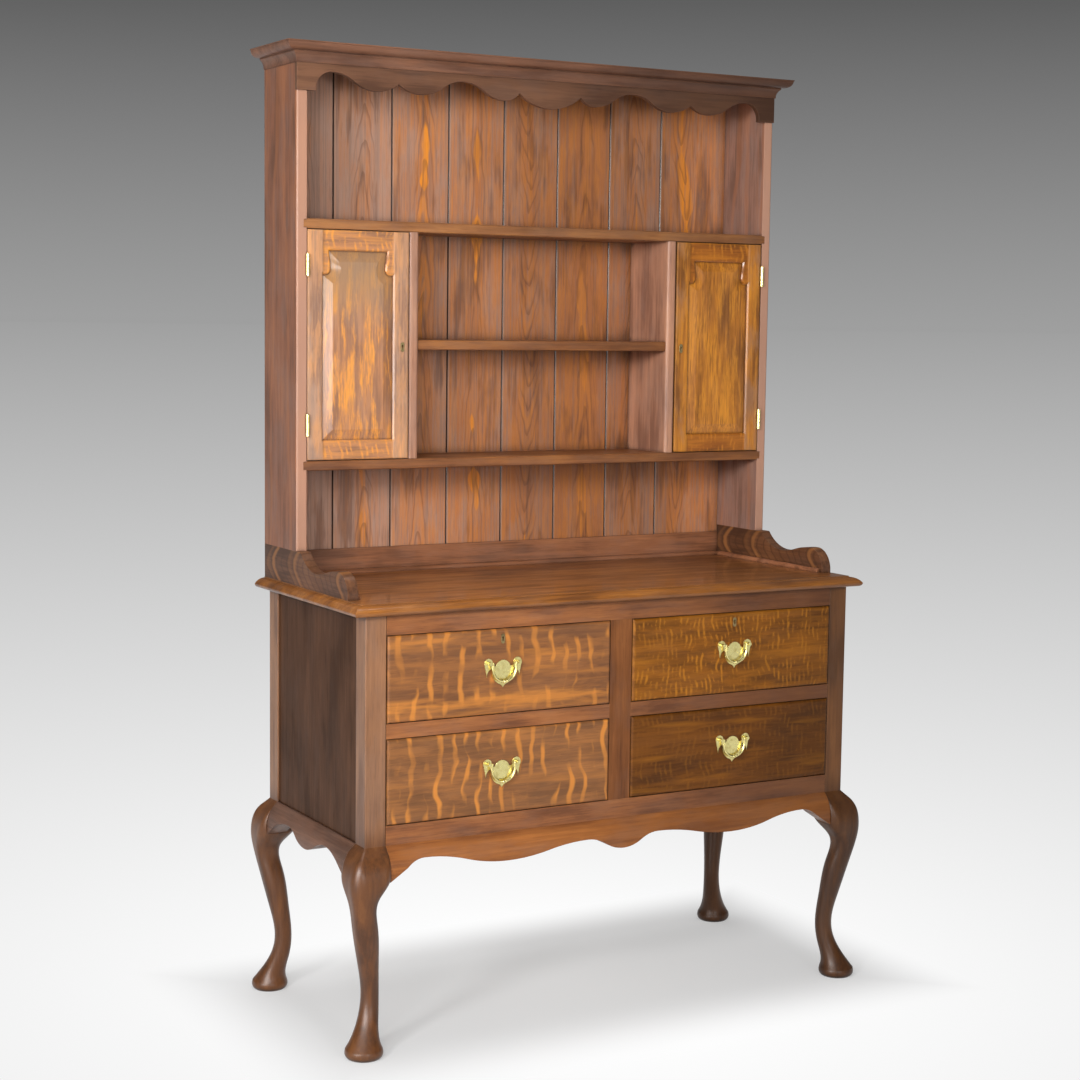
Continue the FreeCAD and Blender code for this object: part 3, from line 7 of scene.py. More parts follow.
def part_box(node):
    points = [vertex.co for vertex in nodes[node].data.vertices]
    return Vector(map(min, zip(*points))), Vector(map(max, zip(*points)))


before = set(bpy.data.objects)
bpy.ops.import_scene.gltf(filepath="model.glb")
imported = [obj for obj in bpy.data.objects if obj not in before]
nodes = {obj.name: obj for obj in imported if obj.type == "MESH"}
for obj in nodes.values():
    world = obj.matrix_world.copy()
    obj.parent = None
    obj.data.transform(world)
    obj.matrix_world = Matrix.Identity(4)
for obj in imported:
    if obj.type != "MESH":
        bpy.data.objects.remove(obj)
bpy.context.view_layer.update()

# Legs of the base: the corner posts and their cabriole legs, each cut from one length of oak, stained
# dark and waxed. The grain runs down the leg, and the arrises are rubbed paler by use.


def new_group(name, inputs, outputs):
    """Empty shader node group with named (kind, default) inputs and outputs of a kind."""
    group = bpy.data.node_groups.new(name, "ShaderNodeTree")
    for label, (kind, default) in inputs.items():
        socket = group.interface.new_socket(label, in_out="INPUT", socket_type=f"NodeSocket{kind}")
        socket.default_value = default
    for label, kind in outputs.items():
        group.interface.new_socket(label, in_out="OUTPUT", socket_type=f"NodeSocket{kind}")
    source = group.nodes.new("NodeGroupInput")
    sink = group.nodes.new("NodeGroupOutput")
    return group, source.outputs, sink.inputs


class Wires:
    """Short calls that add nodes to a node tree and join them."""

    def __init__(self, tree):
        self.tree = tree

    def set(self, socket, value):
        """Joins a socket to an output, or gives it a value."""
        if isinstance(value, bpy.types.NodeSocket):
            self.tree.links.new(value, socket)
        else:
            socket.default_value = value

    def math(self, operation, first, second=0.0, third=0.0, clamp=False):
        """Result of one math node."""
        node = self.tree.nodes.new("ShaderNodeMath")
        node.operation = operation
        node.use_clamp = clamp
        for socket, value in zip(node.inputs, (first, second, third)):
            self.set(socket, value)
        return node.outputs[0]

    def vector(self, operation, first, second=(0.0, 0.0, 0.0)):
        """Vector result of one vector math node."""
        node = self.tree.nodes.new("ShaderNodeVectorMath")
        node.operation = operation
        self.set(node.inputs[0], first)
        self.set(node.inputs[1], second)
        return node.outputs[0]

    def split(self, vector):
        """The three numbers of a vector."""
        node = self.tree.nodes.new("ShaderNodeSeparateXYZ")
        self.set(node.inputs[0], vector)
        return node.outputs

    def join(self, x, y, z):
        """A vector of three numbers."""
        node = self.tree.nodes.new("ShaderNodeCombineXYZ")
        for socket, value in zip(node.inputs, (x, y, z)):
            self.set(socket, value)
        return node.outputs[0]

    def noise(self, vector, scale, detail=2.0, roughness=0.5):
        """Noise of 0 to 1 over a vector that is first stretched by a scale along each axis."""
        node = self.tree.nodes.new("ShaderNodeTexNoise")
        self.set(node.inputs["Vector"], self.vector("MULTIPLY", vector, scale))
        self.set(node.inputs["Scale"], 1.0)
        self.set(node.inputs["Detail"], detail)
        self.set(node.inputs["Roughness"], roughness)
        return node.outputs[0]

    def chance(self, value):
        """One random number of 0 to 1 for each value."""
        node = self.tree.nodes.new("ShaderNodeTexWhiteNoise")
        node.noise_dimensions = "1D"
        self.set(node.inputs["W"], value)
        return node.outputs[0]

    def between(self, value, low, high, start=0.0, end=1.0):
        """Start at low and end at high, smooth between them."""
        node = self.tree.nodes.new("ShaderNodeMapRange")
        node.interpolation_type = "SMOOTHSTEP"
        for socket, given in zip(node.inputs, (value, low, high, start, end)):
            self.set(socket, given)
        return node.outputs[0]

    def mix(self, factor, first, second):
        """Mix of two colours."""
        node = self.tree.nodes.new("ShaderNodeMix")
        node.data_type = "RGBA"
        node.clamp_factor = True
        for socket, value in ((node.inputs[0], factor), (node.inputs[6], first), (node.inputs[7], second)):
            self.set(socket, (*value, 1.0) if isinstance(value, tuple) else value)
        return node.outputs[2]

    def use(self, group, **values):
        """Outputs of a node group with given inputs."""
        node = self.tree.nodes.new("ShaderNodeGroup")
        node.node_tree = group
        for label, value in values.items():
            self.set(node.inputs[label], value)
        return node.outputs


LOG_THROUGH, LOG_ALONG = 7.3, 3.1


def moved_board(wires, board, seed):
    """Board coordinates carried far through and along the log, so that each seed is another piece of it."""
    through = wires.math("MULTIPLY", seed, LOG_THROUGH)
    along = wires.math("MULTIPLY", seed, LOG_ALONG)
    return wires.vector("ADD", board, wires.join(0.0, through, along))


def grain_group():
    """Plain grain of a board whose length is its Z.

    Tone adds streaks a few millimetres wide, bands and clouds, all noise drawn out along the board. Blotch is
    the stain that took unevenly, bloom the greyed wax, dash the broken dark lines of the grain, and pores the
    finest of them. Height is a part of the streaks less a part of the pores.
    """
    group, given, result = new_group(
        "oak_grain",
        {"Board": ("Vector", (0.0, 0.0, 0.0)), "Seed": ("Float", 0.0)},
        {label: "Float" for label in ("Tone", "Blotch", "Bloom", "Dash", "Pores", "Height")},
    )
    w = Wires(group)
    place = moved_board(w, given["Board"], given["Seed"])
    streak = w.noise(place, (170.0, 170.0, 7.0), 3.0, 0.6)
    band = w.noise(place, (40.0, 40.0, 4.0), 2.0)
    cloud = w.noise(place, (12.0, 12.0, 6.0), 3.0)
    tone = w.math("MULTIPLY_ADD", band, 0.34, w.math("MULTIPLY", cloud, 0.40))
    tone = w.math("MULTIPLY_ADD", streak, 0.26, tone)
    w.set(result["Tone"], w.between(tone, 0.36, 0.64))
    blotch = w.noise(place, (58.0, 58.0, 10.0), 4.0, 0.65)
    w.set(result["Blotch"], w.between(blotch, 0.45, 0.62))
    bloom = w.noise(w.vector("ADD", place, (3.0, 1.0, 2.0)), (26.0, 26.0, 9.0), 4.0, 0.6)
    w.set(result["Bloom"], w.between(bloom, 0.44, 0.64))
    dash = w.noise(place, (380.0, 380.0, 22.0), 2.0)
    w.set(result["Dash"], w.between(dash, 0.52, 0.68))
    pores = w.between(w.noise(place, (1300.0, 1300.0, 30.0), 1.0), 0.58, 0.74)
    w.set(result["Pores"], pores)
    w.set(result["Height"], w.math("SUBTRACT", w.math("MULTIPLY", streak, 0.3), w.math("MULTIPLY", pores, 0.4)))
    return group


OAK_GRAIN = grain_group()
# Shares of the dark tone: for the painted shade at a front's right end, for the pores, and for the painted
# shade in corners.
RIGHT_SHADE_TONE, PORE_STAIN, CORNER_SHADE_TONE = 0.35, 0.4, 0.2
GREYED_OWN, GREYED_SHARED = 0.6, 0.14
# Painted shade: how far corners darken towards a share of the dark tone.
CORNER_SHADE = 0.75
BUMP_DEPTH = 0.0005


def darker(colour, share):
    """A share of each part of a colour."""
    return tuple(share * part for part in colour)


class Finish(Wires):
    """A waxed wood or a metal: the tree of one material, its shader and its coordinates on the object."""

    def __init__(self, name, coat=0.15, edge=0.0015, gloss=0.15, polish=0.2):
        self.material = bpy.data.materials.new(name)
        self.material.use_nodes = True
        super().__init__(self.material.node_tree)
        self.shader = next(n for n in self.tree.nodes if n.type == "BSDF_PRINCIPLED")
        self.shader.inputs["Coat Weight"].default_value = coat
        self.shader.inputs["Coat Roughness"].default_value = polish
        self.shader.inputs["Specular IOR Level"].default_value = gloss
        self.place = self.tree.nodes.new("ShaderNodeTexCoord").outputs["Object"]
        bevel = self.tree.nodes.new("ShaderNodeBevel")
        bevel.samples = 6
        bevel.inputs["Radius"].default_value = edge
        self.eased = bevel.outputs[0]

    def board(self, along, face, middle=(0.0, 0.0, 0.0)):
        """Place on a board from its middle, as across, through and along it.

        Along is the axis that the grain follows, and face the axis that the board's face looks along.
        """
        place = dict(zip("XYZ", self.split(self.vector("SUBTRACT", self.place, middle))))
        across = next(axis for axis in "XYZ" if axis not in (along, face))
        return self.join(place[across], place[face], place[along])

    def wood(self, board, seed, tones, blotch=0.0, dash=0.0, bloom=0.25):
        """Colour, roughness and height of plain oak in dark, middle and light tones.

        The greyed tone is a share of the middle one plus a share of the sum of its three parts.
        """
        dark, middle, light = tones
        grain = self.use(OAK_GRAIN, Board=board, Seed=seed)
        colour = self.mix(self.between(grain["Tone"], 0.0, 0.6), dark, middle)
        colour = self.mix(self.between(grain["Tone"], 0.6, 1.0, 0.0, 0.6), colour, light)
        if blotch:
            colour = self.mix(self.math("MULTIPLY", grain["Blotch"], blotch), colour, light)
        if bloom:
            greyed = tuple(GREYED_OWN * part + GREYED_SHARED * sum(middle) for part in middle)
            colour = self.mix(self.math("MULTIPLY", grain["Bloom"], bloom), colour, greyed)
        if dash:
            colour = self.mix(self.math("MULTIPLY", grain["Dash"], dash), colour, dark)
        colour = self.mix(self.math("MULTIPLY", grain["Pores"], 0.35), colour, darker(dark, PORE_STAIN))
        roughness = self.math("MULTIPLY_ADD", grain["Tone"], -0.1, 0.46)
        roughness = self.math("MULTIPLY_ADD", grain["Pores"], 0.16, roughness)
        return colour, roughness, grain["Height"]

    def painted_shade_to_right(self, colour, tones, start, end, depth):
        """A colour painted darker from start to end along the front, as shade where less light falls."""
        shade_share = self.between(self.split(self.place)[0], start, end, 0.0, depth)
        return self.mix(shade_share, colour, darker(tones[0], RIGHT_SHADE_TONE))

    def shaded_and_worn(self, colour, tones, strength=0.35, reach=0.014):
        """A colour with painted shade darkening its corners, where less light reaches, and rubbed light on its
        arrises.

        A corner is where little of the space around is open, and an arris where the eased normal leaves the
        face's own.
        """
        dark, _, light = tones
        closed = self.tree.nodes.new("ShaderNodeAmbientOcclusion")
        closed.samples = 4
        closed.inputs["Distance"].default_value = reach
        # Painted shade in corners, where less light reaches.
        shade = self.between(closed.outputs["AO"], 0.85, 0.35, 0.0, CORNER_SHADE)
        colour = self.mix(shade, colour, darker(dark, CORNER_SHADE_TONE))
        flat = self.tree.nodes.new("ShaderNodeNewGeometry").outputs["True Normal"]
        lean = self.tree.nodes.new("ShaderNodeVectorMath")
        lean.operation = "DOT_PRODUCT"
        self.set(lean.inputs[0], self.eased)
        self.set(lean.inputs[1], flat)
        return self.mix(self.between(lean.outputs["Value"], 0.995, 0.85, 0.0, strength), colour, light)

    def close(self, colour, roughness, height, strength=0.2):
        """Joins a colour, roughness and height to the shader."""
        self.set(self.shader.inputs["Base Color"], colour)
        self.set(self.shader.inputs["Roughness"], roughness)
        bump = self.tree.nodes.new("ShaderNodeBump")
        bump.inputs["Distance"].default_value = BUMP_DEPTH
        bump.inputs["Strength"].default_value = strength
        self.set(bump.inputs["Height"], height)
        self.set(bump.inputs["Normal"], self.eased)
        self.set(self.shader.inputs["Normal"], bump.outputs[0])
        return self.material


def dress(material, *names):
    """Gives CAD pieces a material in place of their plain one."""
    for name in names:
        piece = nodes[name]
        for index in range(len(piece.material_slots)):
            piece.material_slots[index].material = material


def middle_of(name):
    """Middle of a CAD piece's box."""
    low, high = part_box(name)
    return tuple((a + b) / 2 for a, b in zip(low, high))


# Painted shade: a piece with a fade darkens from start to end along the front, towards its right end, where
# less light falls.
RIGHT_SHADE_START, RIGHT_SHADE_END = -0.25, 0.55


def plain_oak(name, along, face, seed, tones, coat=0.15, wear=0.35, gloss=0.15, polish=0.2,
              fade=0.0, reach=0.014, **figure):
    """Material of a piece with one grain direction, painted darker by fade towards the front's right end as
    shade.
    """
    finish = Finish(name, coat, gloss=gloss, polish=polish)
    colour, roughness, height = finish.wood(finish.board(along, face), seed, tones, **figure)
    if fade:
        colour = finish.painted_shade_to_right(colour, tones, RIGHT_SHADE_START, RIGHT_SHADE_END, fade)
    return finish.close(finish.shaded_and_worn(colour, tones, wear, reach=reach), roughness, height)


# Left and right are lit and shaded copies: the left legs' lighter posts are a painted sheen, and the right legs
# are painted darker as shade.
LEG_TONES_LIT_AND_SHADED = {
    "left": ((0.087, 0.031, 0.010), (0.151, 0.053, 0.015), (0.231, 0.087, 0.025)),
    "right": ((0.050, 0.018, 0.006), (0.087, 0.031, 0.008), (0.132, 0.050, 0.014)),
}
LEG_COAT = {"left": 0.55, "right": 0.35}
POST_TONES_SHEEN_AND_SHADE = {
    "left": ((0.196, 0.085, 0.039), (0.308, 0.140, 0.064), (0.434, 0.199, 0.091)),
    "right": ((0.091, 0.035, 0.011), (0.147, 0.057, 0.018), (0.224, 0.090, 0.028)),
}
SHOULDER = (0.41, 0.47)


def leg_finish(side):
    """Material of the legs: dark below the shoulder and lighter on the posts above it; the left pair's posts
    carry a painted sheen, and the right pair is painted darker as shade.
    """
    finish = Finish(f"leg_{side}_oak", coat=LEG_COAT[side], polish=0.36)
    board = finish.board("Z", "Y")
    leg, roughness, height = finish.wood(board, 1.0, LEG_TONES_LIT_AND_SHADED[side])
    post = finish.wood(board, 1.0, POST_TONES_SHEEN_AND_SHADE[side])[0]
    height_up = finish.split(finish.place)[2]
    colour = finish.mix(finish.between(height_up, *SHOULDER), leg, post)
    return finish.close(finish.shaded_and_worn(colour, POST_TONES_SHEEN_AND_SHADE[side], 0.3), roughness, height)


for side in ("left", "right"):
    dress(leg_finish(side), f"leg_front_{side}", f"leg_back_{side}")

# Side panels: wide oak boards that close the ends of the base, with upright grain and the same dark stain.
# They are fitted between the posts and stand a little back from them.

SIDE_TONES = ((0.057, 0.021, 0.007), (0.091, 0.035, 0.013), (0.134, 0.053, 0.020))
SIDE_OAK = plain_oak("side_oak", "Z", "X", 2.0, SIDE_TONES, coat=0.0, gloss=0.08, dash=0.2)
dress(SIDE_OAK, "side_panels")

# Front frame: oak rails across the front and a muntin between the drawers, planed square and joined to the
# posts. The rails are painted darker towards their right end as shade, and painted shade darkens the rails
# and the muntin round the drawers.

RAIL_TONES = ((0.179, 0.063, 0.024), (0.316, 0.113, 0.038), (0.490, 0.185, 0.059))
RAIL_OAK = plain_oak("rail_oak", "X", "Y", 3.0, RAIL_TONES, coat=0.3, fade=0.7, reach=0.025, blotch=0.25)
dress(RAIL_OAK, "front_top_rail", "drawer_rails", "bottom_rail")
MUNTIN_TONES = ((0.126, 0.042, 0.014), (0.217, 0.074, 0.021), (0.322, 0.116, 0.034))
dress(plain_oak("muntin_oak", "Z", "Y", 4.0, MUNTIN_TONES, reach=0.025), "centre_muntin")

# Aprons: thick oak boards between the knees, rounded over in front and scroll-sawn below. They hang under
# the rails and side panels, and swell out to meet the knees.

APRON_TONES = ((0.231, 0.078, 0.024), (0.350, 0.123, 0.034), (0.504, 0.185, 0.050))
# The front apron is painted darker towards its right end as shade.
dress(plain_oak("front_apron_oak", "X", "Y", 5.0, APRON_TONES, fade=0.5), "front_apron")
SIDE_APRON_TONES = ((0.119, 0.059, 0.038), (0.203, 0.102, 0.066), (0.301, 0.154, 0.099))
dress(plain_oak("side_apron_oak", "Y", "X", 5.5, SIDE_APRON_TONES), "side_apron_left", "side_apron_right")

# Inside of the base: the runners and kickers that carry the drawers, and the rails and boards that close the
# back. All are of plain softwood, planed and left without stain or polish.

BARE_TONES = ((0.280, 0.168, 0.087), (0.420, 0.273, 0.151), (0.518, 0.357, 0.203))
dress(plain_oak("bare_back_wood", "Z", "Y", 6.0, BARE_TONES, coat=0.0, wear=0.1), "base_back")
dress(plain_oak("bare_runner_wood", "Y", "Z", 6.5, BARE_TONES, coat=0.0, wear=0.1), "drawer_runners")

# Top board: wide oak with the grain along the front, laid over the base, with a thumbnail edge worked round
# it. Its face is rubbed to a gloss.

TOP_TONES = ((0.168, 0.056, 0.013), (0.329, 0.115, 0.021), (0.560, 0.213, 0.042))
# The top board is painted darker towards its right end as shade.
TOP_OAK = plain_oak("top_oak", "X", "Z", 7.0, TOP_TONES, coat=0.6, wear=0.5, polish=0.1, fade=0.4, dash=0.3)
dress(TOP_OAK, "top_board")

# Gallery: scroll-sawn end boards of curly oak and a low back, which stand on the top board. A small
# quadrant bead is glued in round the worktop.


def flame_group():
    """Growth rings cut through by a board whose length is its Z.

    A ring is where the root of across squared plus pith squared, plus taper times the way along, is a whole
    number of ring sizes. Each ring has a chance brightness; it is light within and ends in a dark line. The
    heart is the middle of the board's width, and a spindle is where the way across is less than swell times
    a noise along the board.
    """
    group, given, result = new_group(
        "oak_flame",
        {
            "Board": ("Vector", (0.0, 0.0, 0.0)),
            "Seed": ("Float", 0.0),
            "Taper": ("Float", 0.02),
            "Pith": ("Float", 0.02),
            "Ring": ("Float", 0.007),
            "Ripple": ("Float", 0.010),
            "Swell": ("Float", 0.0),
        },
        {label: "Float" for label in ("Light", "Line", "Heart", "Spindle")},
    )
    w = Wires(group)
    seed = given["Seed"]
    place = moved_board(w, given["Board"], seed)
    across, _, along = w.split(given["Board"])
    wander = w.noise(w.join(0.0, w.math("MULTIPLY", seed, 5.7), along), (1.0, 1.0, 3.4))
    ripple = w.noise(place, (38.0, 38.0, 12.0))
    side = w.math("ADD", across, w.math("MULTIPLY_ADD", wander, 0.07, -0.035))
    reach = w.math("MULTIPLY_ADD", side, side, w.math("MULTIPLY", given["Pith"], given["Pith"]))
    radius = w.math("MULTIPLY_ADD", along, given["Taper"], w.math("SQRT", reach))
    radius = w.math("MULTIPLY_ADD", ripple, given["Ripple"], radius)
    ring = w.math("DIVIDE", radius, given["Ring"])
    phase = w.math("FRACT", ring)
    shine = w.chance(w.math("MULTIPLY_ADD", seed, 0.77, w.math("FLOOR", ring)))
    light = w.math("MULTIPLY", w.between(phase, 0.1, 0.4), w.between(phase, 0.95, 0.55))
    w.set(result["Light"], w.math("MULTIPLY", light, w.between(shine, 0.25, 0.85)))
    line = w.math("MULTIPLY", w.between(phase, 0.62, 0.9), w.between(phase, 1.0, 0.95))
    w.set(result["Line"], line)
    swell = w.noise(w.join(0.0, w.math("MULTIPLY", seed, 3.9), along), (1.0, 1.0, 7.0), 2.0)
    width = w.math("MULTIPLY", w.math("SUBTRACT", swell, 0.44), given["Swell"])
    width = w.math("MULTIPLY_ADD", w.math("SUBTRACT", ripple, 0.5), 0.008, width)
    w.set(result["Spindle"], w.between(w.math("SUBTRACT", width, w.math("ABSOLUTE", side)), -0.001, 0.005))
    w.set(result["Heart"], w.between(w.math("ABSOLUTE", side), 0.036, 0.008))
    return group


OAK_FLAME = flame_group()
EDGE_BACK, EDGE_FRONT, EDGE_SHEEN = 0.003, 0.001, 0.75


def flamed_oak(name, along, face, middle, seed, tones, flame, taper, pith, ring, light=0.8, line=0.6,
               front=None, **figure):
    """Material of a board whose face shows the growth rings in a flame colour between dark lines.

    Front is the place along Y and the colour of a paler band painted on the front edge as a sheen.
    """
    finish = Finish(name)
    board = finish.board(along, face, middle)
    colour, roughness, height = finish.wood(board, seed, tones, **figure)
    rings = finish.use(OAK_FLAME, Board=board, Seed=seed, Taper=taper, Pith=pith, Ring=ring)
    colour = finish.mix(finish.math("MULTIPLY", rings["Light"], light), colour, flame)
    colour = finish.mix(finish.math("MULTIPLY", rings["Line"], line), colour, tones[0])
    if front:
        edge, painted_sheen = front
        depth = finish.split(finish.place)[1]
        # Painted sheen: a paler band along the front edge.
        sheen_mask = finish.between(depth, edge + EDGE_BACK, edge + EDGE_FRONT, 0.0, EDGE_SHEEN)
        colour = finish.mix(sheen_mask, colour, painted_sheen)
    return finish.close(finish.shaded_and_worn(colour, tones), roughness, height)


GALLERY_TONES = ((0.081, 0.034, 0.017), (0.151, 0.062, 0.028), (0.252, 0.104, 0.042))
CURLY_LIGHT = (0.358, 0.148, 0.048)
GALLERY_BACK_TONES = ((0.183, 0.073, 0.035), (0.328, 0.130, 0.060), (0.494, 0.197, 0.083))
for side in ("left", "right"):
    name = f"gallery_side_{side}"
    curly = flamed_oak(f"{name}_oak", "Y", "X", middle_of(name), 8.0, GALLERY_TONES, CURLY_LIGHT,
                       taper=0.5, pith=0.03, ring=0.014)
    dress(curly, name)
dress(plain_oak("gallery_back_oak", "X", "Y", 8.5, GALLERY_BACK_TONES), "gallery_back", "gallery_bead")

# Sides of the plate rack: upright oak boards, redder than the base, which stand on the gallery ends. Their
# front edges are eased and carry a paler band of painted sheen, and the right one's greyer tones are a
# painted reflection.

# The right side's greyer tones are a painted reflection on its inner face, which looks towards the light.
RACK_SIDE_TONES_AND_SHEEN = {
    "left": ((0.190, 0.083, 0.050), (0.322, 0.132, 0.073), (0.454, 0.189, 0.095)),
    "right": ((0.210, 0.113, 0.081), (0.357, 0.193, 0.140), (0.501, 0.272, 0.190)),
}
RACK_FLAME = (0.493, 0.188, 0.076)
RACK_EDGE_SHEEN = (0.588, 0.315, 0.210)
for side in ("left", "right"):
    name = f"rack_side_{side}"
    front_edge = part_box(name)[0][1]
    upright = flamed_oak(f"{name}_oak", "Z", "X", middle_of(name), 9.0, RACK_SIDE_TONES_AND_SHEEN[side], RACK_FLAME,
                         taper=0.03, pith=0.035, ring=0.016, light=0.35, line=0.15,
                         front=(front_edge, RACK_EDGE_SHEEN), dash=0.2, bloom=0.5)
    dress(upright, name)

# Back of the rack: upright oak boards, tongued together with V joints and fixed behind the shelves. Each is
# cut from another part of the log, so each has its own flames and tone. Its row of the figure says how orange
# it is, how its rings run up or down, how brown its ground is, and how far up it the flames are strongest.
# The greyer ground of the two left boards is a painted reflection, the pale line beside each joint a painted
# highlight, and a darker band across the boards right of the middle and the darkening near the shelves are
# painted shade.

BACK_GREY = (0.505, 0.307, 0.226)
BACK_BROWN = (0.560, 0.208, 0.074)
BACK_DARK = (0.150, 0.062, 0.034)
BACK_ORANGE = (0.930, 0.320, 0.033)
BACK_JOINT_AND_SHADE = (0.028, 0.014, 0.010)
BACK_JOINT_SHEEN = (0.672, 0.476, 0.364)
# The low brown of the first two boards greys their ground as a painted reflection.
BACK_FIGURE = (
    (0.20, 0.60, 0.05, 0.30),
    (0.50, 0.75, 0.22, 0.15),
    (1.00, 0.66, 0.60, 0.85),
    (1.00, 0.55, 0.70, 0.40),
    (0.70, 0.12, 0.75, 0.15),
    (0.60, 0.62, 1.00, 0.30),
    (0.40, 0.78, 0.65, 0.50),
    (0.90, 0.25, 0.75, 0.55),
)
BACK_FOOT, BACK_MIDDLE = 0.953, 1.475
FIRST_JOINT = -0.436
BOARD_PITCH, BOARD_STEP = 0.137, 0.37
BACK_SEED, BACK_RING, BACK_RIPPLE = 20.0, 0.0105, 0.016
FLAME_FAR, FLAME_NEAR, FLAME_LEAST = 0.55, 0.15, 0.45
FIBRE = 0.25
OUTER_JOINTS = 0.5
JOINT_ARRIS, JOINT_EDGE = (-0.0635, -0.0650), (0.0655, 0.0675)
# Painted shade: a darker band across the boards right of the middle.
BACK_SHADE_RISE, BACK_SHADE_FALL, BACK_SHADE_DEPTH = (-0.18, 0.10), (0.50, 0.40), 0.25


def back_board_finish():
    """Material of the back boards: a board's number is the whole part of its place over the pitch."""
    finish = Finish("back_board_oak", edge=0.001)
    x, _, z = finish.split(finish.place)
    count = len(BACK_FIGURE)
    place = finish.math("DIVIDE", finish.math("SUBTRACT", x, FIRST_JOINT - BOARD_PITCH), BOARD_PITCH)
    number = finish.math("MINIMUM", finish.math("FLOOR", place), count - 1.0)
    local = finish.math("SUBTRACT", finish.math("SUBTRACT", place, number), 0.5)
    local = finish.math("MULTIPLY", local, BOARD_PITCH)
    through = finish.math("MULTIPLY", number, BOARD_STEP)
    board = finish.join(local, through, finish.math("SUBTRACT", z, BACK_MIDDLE))
    ramp = finish.tree.nodes.new("ShaderNodeValToRGB")
    ramp.color_ramp.interpolation = "CONSTANT"
    while len(ramp.color_ramp.elements) < count:
        ramp.color_ramp.elements.new(1.0)
    for index, (stop, figure) in enumerate(zip(ramp.color_ramp.elements, BACK_FIGURE)):
        stop.position = index / count
        stop.color = figure
    finish.set(ramp.inputs[0], finish.math("DIVIDE", finish.math("ADD", number, 0.5), count))
    orange, lean, warm = finish.split(ramp.outputs[0])
    strongest = ramp.outputs["Alpha"]
    apart = finish.math("SUBTRACT", finish.math("SUBTRACT", z, BACK_FOOT), strongest)
    apart = finish.math("ABSOLUTE", apart)
    orange = finish.math("MULTIPLY", orange, finish.between(apart, FLAME_FAR, FLAME_NEAR, FLAME_LEAST, 1.0))
    seed = finish.math("ADD", number, BACK_SEED)
    grain = finish.use(OAK_GRAIN, Board=board, Seed=seed)
    pith = finish.math("MULTIPLY_ADD", finish.chance(seed), 0.015, 0.004)
    taper = finish.math("MULTIPLY_ADD", lean, 0.5, -0.25)
    swell = finish.math("MULTIPLY_ADD", orange, 0.075, 0.02)
    rings = finish.use(OAK_FLAME, Board=board, Seed=seed, Taper=taper, Pith=pith, Ring=BACK_RING,
                       Ripple=BACK_RIPPLE, Swell=swell)
    heart = rings["Heart"]
    fibre = finish.between(finish.noise(board, (210.0, 1.0, 1.8), 3.0, 0.6), 0.38, 0.62, -FIBRE, FIBRE)
    ground = finish.math("MULTIPLY_ADD", grain["Bloom"], -0.3, warm)
    ground = finish.math("MULTIPLY_ADD", heart, 0.2, ground)
    colour = finish.mix(finish.math("ADD", ground, fibre, clamp=True), BACK_GREY, BACK_BROWN)
    colour = finish.mix(finish.between(grain["Tone"], 0.45, 0.0, 0.0, 0.55), colour, BACK_DARK)
    colour = finish.mix(finish.between(fibre, 0.0, -FIBRE, 0.0, 0.25), colour, BACK_DARK)
    glow = finish.math("MULTIPLY", heart, finish.math("MULTIPLY", rings["Light"], 0.5))
    spindle = finish.math("MULTIPLY", rings["Spindle"], finish.math("ADD", fibre, 0.85))
    glow = finish.math("MULTIPLY", orange, finish.math("MAXIMUM", glow, spindle))
    stain = finish.math("MULTIPLY", grain["Blotch"], finish.math("MULTIPLY_ADD", warm, 0.22, 0.03))
    colour = finish.mix(finish.math("MAXIMUM", glow, stain), colour, BACK_ORANGE)
    line = finish.math("MULTIPLY", rings["Line"], finish.math("MULTIPLY_ADD", heart, 0.35, 0.03))
    colour = finish.mix(line, colour, BACK_DARK)
    colour = finish.mix(finish.math("MULTIPLY", grain["Pores"], 0.3), colour, BACK_DARK)
    inside = finish.math("LESS_THAN", finish.math("ABSOLUTE", x), OUTER_JOINTS)
    # Painted highlight: a thin pale line along the arris of each joint that faces the light.
    painted_sheen = finish.math("MULTIPLY", finish.between(local, *JOINT_ARRIS, 0.0, 0.3), inside)
    colour = finish.mix(painted_sheen, colour, BACK_JOINT_SHEEN)
    joint = finish.between(finish.math("ABSOLUTE", local), *JOINT_EDGE, 0.0, 0.95)
    colour = finish.mix(finish.math("MULTIPLY", joint, inside), colour, BACK_JOINT_AND_SHADE)
    # Painted shade: the band darkens towards the joint colour.
    rise = finish.between(x, *BACK_SHADE_RISE, 0.0, BACK_SHADE_DEPTH)
    shade_share = finish.math("MULTIPLY", rise, finish.between(x, *BACK_SHADE_FALL))
    colour = finish.mix(shade_share, colour, BACK_JOINT_AND_SHADE)
    roughness = finish.math("MULTIPLY_ADD", grain["Pores"], 0.15, 0.38)
    tones = (BACK_DARK, BACK_BROWN, BACK_BROWN)
    # Painted shade reaches far from the shelves and frieze here.
    return finish.close(finish.shaded_and_worn(colour, tones, 0.0, reach=0.04), roughness, grain["Height"])


dress(back_board_finish(), "back_boards")

# Shelves and dividers of the rack: planed oak boards, housed into the sides and into each other. The grain
# runs across on the shelves and upright on the dividers.

SHELF_TONES = ((0.161, 0.059, 0.024), (0.273, 0.102, 0.036), (0.462, 0.182, 0.055))
# The shelves are painted darker towards their right end as shade.
dress(plain_oak("shelf_oak", "X", "Z", 10.0, SHELF_TONES, fade=0.3, blotch=0.2), "middle_shelf", "lower_shelf")
